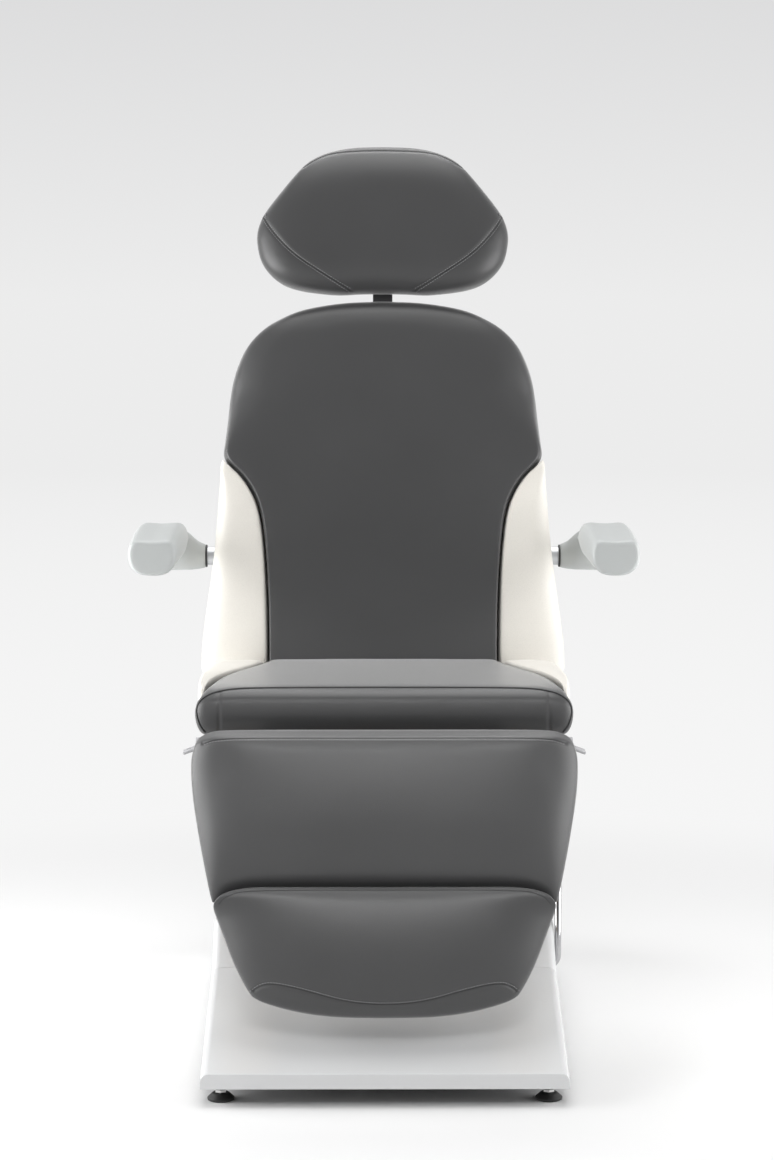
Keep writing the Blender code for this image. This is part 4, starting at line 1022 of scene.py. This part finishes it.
# %% Foot pad
FOOT_HALF = [
    (0.0, -0.2325), (0.150, -0.2325), (0.212, -0.2332), (0.245, -0.2375), (0.266, -0.2455),
    (0.2780, -0.2580), (0.2790, -0.270), (0.2730, -0.288), (0.262, -0.3165), (0.248, -0.353),
    (0.2335, -0.383), (0.221, -0.4035), (0.2145, -0.4105), (0.1955, -0.4205), (0.157, -0.432),
    (0.115, -0.4400), (0.067, -0.4443), (0.0, -0.4455),
]


def foot_rim(x, z):
    top = ease((z + 0.285) / 0.035)
    return 0.014 + 0.026 * top, 0.048 + 0.023 * top


def foot_edge(u, v):
    return 5.0, 11.0 if v < 0.5 else 3.4


foot_sides = four_sides(FOOT_HALF, 4, 12, 56, 40)
foot = stuffed(
    "foot_cover", foot_sides, (0.0235, 0.096), foot_rim, foot_edge, LEG, crown=0.017, most=0.0014
)
TOE_SEAM = [
    (0.0, -0.4215), (0.040, -0.4195), (0.078, -0.4130), (0.120, -0.4015), (0.160, -0.3920),
    (0.186, -0.3890), (0.203, -0.3930), (0.2175, -0.4035),
]
sewn_seam("toe_seam", foot, LEG, both_halves(TOE_SEAM), "foot")
FOOT_TOP = [(0.0, -0.2380), (0.205, -0.2390), (0.253, -0.2470), (0.270, -0.2610)]
# This seam shows only a shallow groove and its near-black line of painted shade.
sewn_seam("foot_top_seam", foot, LEG, both_halves(FOOT_TOP), "foot", depth=0.0004, rows=())
dress(foot, "foot", ["foot_cushion"], GREY)

# %% [markdown]
# ## Turned pieces
# Feet, tubes and collars are turned on a lathe in life. Here a circle is extruded ring by ring and
# each ring is scaled to the next radius, which draws the same profile by hand.

# %% Lathe helper
def settle(obj, place):
    """Moves a shape made at the origin to its place, and applies that to the mesh."""
    obj.matrix_world = place
    select_only(obj)
    bpy.ops.object.transform_apply(location=True, rotation=True, scale=True)


def turned(name, profile, sides):
    """A closed turned shape about Z from (radius, height) steps."""
    bpy.ops.object.select_all(action="DESELECT")
    radius, height = profile[0]
    bpy.ops.mesh.primitive_circle_add(
        vertices=sides, radius=radius, fill_type="NGON", location=(0, 0, height)
    )
    obj = bpy.context.active_object
    obj.name = name
    bpy.ops.object.transform_apply(location=True)
    with editing(obj):
        for (old, low), (new, high) in zip(profile, profile[1:]):
            bpy.ops.mesh.extrude_region_move(TRANSFORM_OT_translate={"value": (0, 0, high - low)})
            share = new / old
            bpy.ops.transform.resize(value=(share, share, 1), center_override=(0, 0, high))
        bpy.ops.mesh.select_all(action="SELECT")
        bpy.ops.mesh.normals_make_consistent(inside=False)
    bpy.ops.object.shade_smooth_by_angle(angle=math.radians(32))
    return obj


def across(x, y, z):
    """A place for a turned shape that lies across the width, from here to the right."""
    return Matrix.Translation((x, y, z)) @ Matrix.Rotation(math.pi / 2, 4, "Y")


def join(target, *others):
    """Joins the other objects into the first."""
    select_only(target)
    for other in others:
        other.select_set(True)
    bpy.ops.object.join()


print("lathe ready")

# %% Levelling feet
pad_low, pad_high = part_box("foot_rubber_front_left")
stud_low, stud_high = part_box("foot_stud_front_left")
foot_radius = (pad_high.x - pad_low.x) / 2
pad_height = pad_high.z
FOOT_PROFILE = [(share * foot_radius, height) for share, height in (
    (0.90, 0.0), (0.97, 0.0008), (1.0, 0.0026), (0.995, 0.0042), (0.94, 0.0056), (0.86, 0.0070),
    (0.76, 0.0090), (0.66, 0.0112), (0.58, 0.0122), (0.50, pad_height), (0.30, pad_height),
)]
nut_radius = (stud_high.y - stud_low.y) / 2
NUT_PROFILE = [(share * nut_radius, stud_high.z - drop) for share, drop in (
    (0.9, 0.0075), (1.0, 0.0066), (1.0, 0.0012), (0.9, 0.0003),
)]
COLLAR_PROFILE = [(share * nut_radius, stud_low.z + rise) for share, rise in (
    (0.86, 0.0), (0.93, 0.0005), (0.93, 0.0042), (0.82, 0.0048),
)]
THREAD_PITCH = 0.00125
STUD_RADIUS = 0.005
STUD_TURNS = int((stud_high.z - stud_low.z) / THREAD_PITCH)
STUD_PROFILE = [(0.9 * STUD_RADIUS, stud_low.z)]
for turn in range(STUD_TURNS):
    for share, rise in ((1.0, 0.45), (0.88, 1.0)):
        STUD_PROFILE.append((share * STUD_RADIUS, stud_low.z + (turn + rise) * THREAD_PITCH))
for end in ("front", "rear"):
    for side, _ in SIDES:
        name = f"{end}_{side}"
        low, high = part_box("foot_rubber_" + name)
        spot = Matrix.Translation(((low.x + high.x) / 2, (low.y + high.y) / 2, 0))
        rubber = turned("foot_pad_" + name, FOOT_PROFILE, 56)
        settle(rubber, spot)
        dress(rubber, "base", ["foot_rubber_" + name], RUBBER)
        stud = turned("foot_screw_" + name, STUD_PROFILE, 28)
        join(stud, turned("nut", NUT_PROFILE, 6), turned("collar", COLLAR_PROFILE, 6))
        settle(stud, spot)
        dress(stud, "base", ["foot_stud_" + name], PLATED)

# %% [markdown]
# ## Base hoods
# Two glossy shells cover the base plate. They are drawn as a side profile, pulled across the width,
# opened below and where they meet, rounded along their edges, and given a wall. The rear one is
# pierced for the column, the inlet and the lever's bush.

# %% Hood helper
def profile_block(name, points, half_width):
    """A block of a (y, z) profile, pulled across the width."""
    bpy.ops.object.select_all(action="DESELECT")
    bpy.ops.mesh.primitive_circle_add(vertices=len(points), fill_type="NGON")
    obj = bpy.context.active_object
    obj.name = name
    for vert, (y, z) in zip(obj.data.vertices, points):
        vert.co = (-half_width, y, z)
    with editing(obj):
        bpy.ops.mesh.extrude_region_move(TRANSFORM_OT_translate={"value": (2 * half_width, 0, 0)})
        bpy.ops.mesh.select_all(action="SELECT")
        bpy.ops.mesh.normals_make_consistent(inside=False)
    return obj


def select_where(obj, kind, items, test):
    """Goes to edit mode with just those faces or edges selected that pass a test."""
    with editing(obj):
        bpy.ops.mesh.select_mode(type=kind)
        bpy.ops.mesh.select_all(action="DESELECT")
    for item in items:
        item.select = test(item)
    bpy.ops.object.mode_set(mode="EDIT")


def open_faces(obj, test):
    """Deletes the faces whose middle passes a test."""
    select_where(obj, "FACE", obj.data.polygons, lambda face: test(face.center))
    bpy.ops.mesh.delete(type="FACE")
    bpy.ops.object.mode_set(mode="OBJECT")


def bevel_edges(obj, test, offset, segments):
    """Rounds the edges whose two ends pass a test."""
    verts = obj.data.vertices
    select_where(obj, "EDGE", obj.data.edges, lambda edge: test(*(verts[i].co for i in edge.vertices)))
    bpy.ops.mesh.bevel(offset=offset, segments=segments, affect="EDGES", clamp_overlap=True)
    bpy.ops.object.mode_set(mode="OBJECT")


HOOD_WALL = 0.004
HOOD_ROUND = 0.014
SKIRT_ROUND = 0.0018
TOUCHING = 1e-4


def hood_shell(name, points, half_width, open_y, skirt=None):
    """A rounded shell, open below and at the joint.

    skirt is the (y, z) of a skirt's upper edge, which stays crisp, as do the
    skirt's corners.
    """
    floor_z = min(z for _, z in points)

    def low(spot):
        return spot.z < floor_z + TOUCHING

    def at_joint(spot):
        return abs(spot.y - open_y) < TOUCHING

    def at_skirt(spot):
        return skirt is not None and abs(spot.y - skirt[0]) < TOUCHING and spot.z < skirt[1] + TOUCHING

    def rounded(a, b):
        return not any(place(a) and place(b) for place in (low, at_joint, at_skirt))

    def crisp(a, b):
        if not (at_skirt(a) and at_skirt(b)) or (low(a) and low(b)):
            return False
        return min(abs(a.x), abs(b.x)) < half_width - 1e-5

    obj = profile_block(name, points, half_width)
    open_faces(obj, lambda mid: low(mid) or at_joint(mid))
    bevel_edges(obj, rounded, HOOD_ROUND, 8)
    if skirt is not None:
        bevel_edges(obj, crisp, SKIRT_ROUND, 3)
    apply_modifier(obj, "SOLIDIFY", thickness=HOOD_WALL, offset=-1, use_even_offset=True)
    return obj


def polish(obj):
    """Smooth shading that keeps flats flat."""
    select_only(obj)
    bpy.ops.object.shade_smooth_by_angle(angle=math.radians(30))
    apply_modifier(obj, "WEIGHTED_NORMAL", keep_sharp=True)


def pierce(obj, cutter):
    """Cuts a cutter's shape out of an object and removes the cutter."""
    apply_modifier(obj, "BOOLEAN", operation="DIFFERENCE", object=cutter, solver="EXACT")
    bpy.data.objects.remove(cutter)


def block(name, low, high):
    """A plain block between two corners, used as a cutter."""
    bpy.ops.object.select_all(action="DESELECT")
    middle = [(a + b) / 2 for a, b in zip(low, high)]
    size = [b - a for a, b in zip(low, high)]
    bpy.ops.mesh.primitive_cube_add(size=1, location=middle, scale=size)
    obj = bpy.context.active_object
    obj.name = name
    bpy.ops.object.transform_apply(location=True, rotation=True, scale=True)
    return obj


print("hood helpers ready")

# %% Front and rear hood
front_low, front_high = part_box("front_hood")
rear_low, rear_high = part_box("rear_hood")
half_width = front_high.x
SKIRT = 0.056
front_points = [
    (front_low.y, front_low.z), (front_high.y, front_low.z), (front_high.y, front_high.z),
    (front_low.y, SKIRT),
]
front_hood = hood_shell("hood_front", front_points, half_width, front_high.y, front_points[-1])
polish(front_hood)
dress(front_hood, "base", ["front_hood"], HOOD)

CREST_START = -0.104
CREST_END = 0.3917
REAR_SKIRT = 0.11
rear_points = [
    (rear_low.y, rear_low.z), (rear_high.y, rear_low.z), (rear_high.y, REAR_SKIRT),
    (CREST_END, rear_high.z), (CREST_START, rear_high.z), (rear_low.y, front_high.z + 0.0003),
]
rear_hood = hood_shell("hood_rear", rear_points, half_width, rear_low.y)
WELL_GAP = Vector((0.0015, 0.0015, 0))
column_low, column_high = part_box("column_outer")
column_low.z, column_high.z = 0.1, 0.3
pierce(rear_hood, block("well", column_low - WELL_GAP, column_high + WELL_GAP))
CUT_GAP = 0.0004
INLET_GAP = Vector((CUT_GAP, CUT_GAP, CUT_GAP))
INLET_OUT = Vector((CUT_GAP, 0.01, CUT_GAP))
inlet_low, inlet_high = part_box("power_inlet")
pierce(rear_hood, block("inlet_room", inlet_low - INLET_GAP, inlet_high + INLET_OUT))
bush_low, bush_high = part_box("lever_bush")
bush_radius = (bush_high.z - bush_low.z) / 2 + CUT_GAP
bush_cutter = turned("bush_room", [(bush_radius, -0.05), (bush_radius, 0.05)], 40)
settle(bush_cutter, across(*((bush_low + bush_high) / 2)))
pierce(rear_hood, bush_cutter)
polish(rear_hood)
dress(rear_hood, "base", ["rear_hood"], HOOD)

# %% [markdown]
# ## Side lever
# A polished rod bends out of the base's right side and stands up beside the leg rest. It is drawn
# as a path with a round section, and its upper end is closed by a small dome.

# %% Side lever
lever_low, lever_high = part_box("side_lever")
LEVER_RADIUS = 0.006
LEVER_BEND = 0.020
lever_x = lever_high.x - LEVER_RADIUS
lever_y = (lever_low.y + lever_high.y) / 2
lever_z = lever_low.z + LEVER_RADIUS
lever_top = lever_high.z - LEVER_RADIUS
lever_path = [(lever_low.x, lever_y, lever_z), (lever_x - LEVER_BEND - 0.004, lever_y, lever_z)]
for angle in np.linspace(0, math.pi / 2, 17):
    out, up = LEVER_BEND * (1 - math.sin(angle)), LEVER_BEND * (1 - math.cos(angle))
    lever_path.append((lever_x - out, lever_y, lever_z + up))
lever_path.append((lever_x, lever_y, lever_top))
lever = tube_along("lever_rod", lever_path, LEVER_RADIUS, CHROME, sides=28)
DOME_TURNS = np.linspace(0, 1.5, 9)
dome_profile = [(LEVER_RADIUS * math.cos(a), LEVER_RADIUS * math.sin(a)) for a in DOME_TURNS]
dome = turned("dome", dome_profile, 28)
settle(dome, Matrix.Translation((lever_x, lever_y, lever_top)))
join(lever, dome)
dress(lever, "lever", ["side_lever"], CHROME)

# %% [markdown]
# ## Armrests
# Each armrest is one moulding: a long pad with a round belly and a slightly dished top, and a drum
# across its rear end that tapers to the tube. Pad and drum start as two bodies and are melted
# together by a voxel remesh and a few smoothing passes, which gives the soft fillet of a mould.

# %% Armrest mouldings
def lofted(name, outline, rings):
    """A closed body through rings of one (x, z) outline: each ring is (place, scale)."""
    bpy.ops.object.select_all(action="DESELECT")
    bpy.ops.mesh.primitive_circle_add(vertices=len(outline), fill_type="NGON")
    obj = bpy.context.active_object
    obj.name = name
    place, scale = rings[0]
    for vert, (x, z) in zip(obj.data.vertices, outline):
        vert.co = Vector(place) + Vector((x * scale, 0, z * scale))
    with editing(obj):
        for new_place, new_scale in rings[1:]:
            step = Vector(new_place) - Vector(place)
            bpy.ops.mesh.extrude_region_move(TRANSFORM_OT_translate={"value": step})
            share = new_scale / scale
            bpy.ops.transform.resize(value=(share, 1, share), center_override=new_place)
            place, scale = new_place, new_scale
        bpy.ops.mesh.select_all(action="SELECT")
        bpy.ops.mesh.normals_make_consistent(inside=False)
    return obj


ARM_HALF = [
    (0.0, 0.0282), (0.014, 0.0290), (0.0255, 0.0298), (0.0322, 0.0284), (0.0372, 0.0236),
    (0.0400, 0.0160), (0.0410, 0.0060), (0.0397, -0.0050), (0.0352, -0.0160), (0.0268, -0.0245),
    (0.0150, -0.0288), (0.0, -0.0300),
]
ARM_RISE = [
    (-0.230, 0.0), (-0.190, 0.0052), (-0.140, 0.0098), (-0.090, 0.0126), (-0.040, 0.0136),
    (0.010, 0.0120), (0.060, 0.0070), (0.110, 0.0000), (0.180, -0.0130), (0.260, -0.0290),
    (0.340, -0.0400),
]
ARM_FLARE = 0.012
ARM_INNER = 0.349
ARM_HALF_HEIGHT = 0.030
ARM_FRONT = [(0.0, 0.84), (0.0012, 0.915), (0.0032, 0.962), (0.0065, 0.990), (0.012, 1.0)]
ARM_REAR = [(0.032, 0.975), (0.018, 0.91), (0.008, 0.81), (0.002, 0.69), (0.0, 0.60)]
PAD_SHORT = 0.022
# Depth, radius and lift of the drum's rings
HUB_RINGS = np.array([
    (0.0, 0.0205, 0.0), (0.0012, 0.0217, 0.0), (0.008, 0.0236, 0.0006), (0.015, 0.0260, 0.0015),
    (0.022, 0.0292, 0.0042), (0.030, 0.0335, 0.0075), (0.037, 0.0362, 0.0102),
    (0.044, 0.0385, 0.0125), (0.056, 0.0400, 0.0135), (0.080, 0.0400, 0.0135),
    (0.094, 0.0385, 0.0130), (0.102, 0.0345, 0.0125), (0.107, 0.0280, 0.0120),
    (0.1095, 0.0200, 0.0120),
])
HUB_START = 0.3302


def armrest_body(side):
    """Pad and hub of one armrest, melted together. side is -1 or 1."""
    low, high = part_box("armrest_right")
    axis = hinge_at["arm_right_flip"]
    middle_x, middle_z = (ARM_INNER + high.x) / 2, high.z - ARM_HALF_HEIGHT
    half = spline_through(ARM_HALF)
    outline = evenly(np.vstack([half, mirrored(half)[1:]]), 64)[:-1]
    length = high.y - low.y - PAD_SHORT
    steps = ARM_FRONT + [(step, 1.0) for step in np.linspace(0.022, length - 0.050, 12)]
    steps += [(length - rest, scale) for rest, scale in ARM_REAR]
    rings = [((middle_x, low.y + step, middle_z), scale) for step, scale in steps]
    pad = lofted("armrest", outline, rings)
    rise = spline_through(ARM_RISE)
    for vert in pad.data.vertices:
        upper = ease((vert.co.z - middle_z + 0.010) / 0.036)
        vert.co.z += upper * np.interp(vert.co.y, rise[:, 0], rise[:, 1])
        vert.co.x += ARM_FLARE * ease((vert.co.y - 0.02) / 0.28)
    depths, radii, lifts = HUB_RINGS.T
    hub = turned("hub", list(zip(radii, depths)), 64)
    settle(hub, across(HUB_START, axis[1], axis[2]))
    for vert in hub.data.vertices:
        vert.co.z += np.interp(vert.co.x - HUB_START, depths, lifts)
    join(pad, hub)
    apply_modifier(pad, "REMESH", mode="VOXEL", voxel_size=0.0022)
    apply_modifier(pad, "SMOOTH", factor=0.5, iterations=8)
    if side < 0:
        for vert in pad.data.vertices:
            vert.co.x = -vert.co.x
        with editing(pad):
            bpy.ops.mesh.flip_normals()
    select_only(pad)
    bpy.ops.object.shade_smooth()
    return pad


for label, side in SIDES:
    arm = armrest_body(side)
    arm.name = f"armrest_moulding_{label}"
    dress(arm, f"arm_{label}", [f"armrest_{label}"], ARM)

# %% Armrest tubes and collars
COLLAR_ENDS = HUB_START - 0.0018, HUB_START + 0.002
for label, side in SIDES:
    for part, slot, material, edge in (
        ("armrest_tube", "aluminium", SATIN, 0.0006), ("armrest_collar", "dark_plastic", DARK, 0.0012)
    ):
        low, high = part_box(f"{part}_{label}")
        radius = (high.z - low.z) / 2
        if part == "armrest_collar":
            low.x, high.x = sorted(side * end for end in COLLAR_ENDS)
        rim = [(radius - edge, 0), (radius - edge * 0.3, edge * 0.3), (radius, edge)]
        profile = rim + [(r, high.x - low.x - depth) for r, depth in rim[::-1]]
        piece = turned(f"{part}_turned_{label}", profile, 64)
        settle(piece, across(low.x, (low.y + high.y) / 2, (low.z + high.z) / 2))
        dress(piece, "back", [f"{part}_{label}"], material)

# %% [markdown]
# ## Rear shell of the back
# Behind the pad the back is closed by a domed moulding that follows the arch. Its net is drawn as
# the pads' nets are, looking to the rear, and a shallow panel line runs round it.

# %% Rear shell
SHELL_HALF = [
    (0.0, 0.690), (0.075, 0.686), (0.140, 0.673), (0.185, 0.652), (0.215, 0.626), (0.238, 0.588),
    (0.250, 0.545), (0.257, 0.490), (0.264, 0.420), (0.272, 0.340), (0.280, 0.250), (0.288, 0.160),
    (0.294, 0.095), (0.290, 0.066), (0.272, 0.054), (0.235, 0.050), (0.0, 0.050),
]
shell_sides = four_sides(SHELL_HALF, 4, 13, 40, 54)
SHELL_PLACE = BACK @ Matrix.Rotation(math.pi, 4, "Z")
shell, _ = cover_net(
    "rear_shell", shell_sides, (0.0226, 0.0365), lambda x, z: (0.001, 0.0240),
    lambda u, v: (12.0, 16.0), SHELL_PLACE, 0.003
)
refine_cover(shell, levels=1)
line = spline_through(SHELL_HALF[:13] + [(0.276, 0.080), (0.235, 0.072), (0.0, 0.072)])
panel_line = np.vstack([line, mirrored(line)[1:]]) * np.array([0.80, 0.86]) + np.array([0, 0.052])
press_seam(shell, SHELL_PLACE, evenly(panel_line, 160), 0.0012, 0.003)
dress(shell, "back", ["back_shell"], DARK)

# %% [markdown]
# ## The steel that carries it
# Frames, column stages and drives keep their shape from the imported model. A sharp corner never
# looks real, so each is copied, its triangles are merged to flats, its edges are broken by a small
# bevel, and the copy stands for the node.

# %% Break the edges of the frames
def soften(node_name, body, material, edge):
    """A copy of a node with broken edges and smooth rounds."""
    source = nodes[node_name]
    obj = bpy.data.objects.new(node_name + "_finished", source.data.copy())
    scene.collection.objects.link(obj)
    with editing(obj):
        bpy.ops.mesh.remove_doubles(threshold=0.00001)
        bpy.ops.mesh.dissolve_limited(angle_limit=math.radians(0.6))
    apply_modifier(
        obj, "BEVEL", width=edge, segments=2, limit_method="ANGLE", angle_limit=math.radians(40),
        use_clamp_overlap=True,
    )
    select_only(obj)
    bpy.ops.object.shade_smooth_by_angle(angle=math.radians(35))
    dress(obj, body, [node_name], material)


SOFTENED = {
    "painted_steel": (PAINT, 0.0009, [
        "base_frame", "column_outer", "column_head", "tilt_actuator", "seat_frame", "back_actuator",
        "leg_actuator", "back_frame", "leg_frame", "head_bracket", "head_stem",
    ]),
    "aluminium": (SATIN, 0.0012, ["column_middle", "column_inner"]),
    "plated_steel": (PLATED, 0.0006, [
        "tilt_pin", "tilt_rod", "back_hinge_shaft", "leg_hinge_shaft", "back_rod", "leg_rod",
        "foot_frame",
    ]),
    "plywood": (PLYWOOD, 0.0006, ["seat_board", "back_board", "leg_board", "foot_board"]),
    "dark_plastic": (DARK, 0.0007, ["stem_guide", "power_inlet", "lever_bush"]),
    "tab_plastic": (TAB, 0.0008, ["release_tab_left", "release_tab_right"]),
}
body_of_node = {
    name: body for body, members in frame["record"]["behaviour"]["bodies"].items() for name in members
}
for slot, (material, edge, names) in SOFTENED.items():
    for name in names:
        soften(name, body_of_node[name], material, edge)

# %% Finishes of the hidden nodes
for name, material in (
    ("control_box", DARK), ("lift_motor", PAINT), ("lift_nut", PAINT), ("lift_screw", PLATED)
):
    nodes[name].data.materials.clear()
    nodes[name].data.materials.append(material)
print("hidden nodes finished")
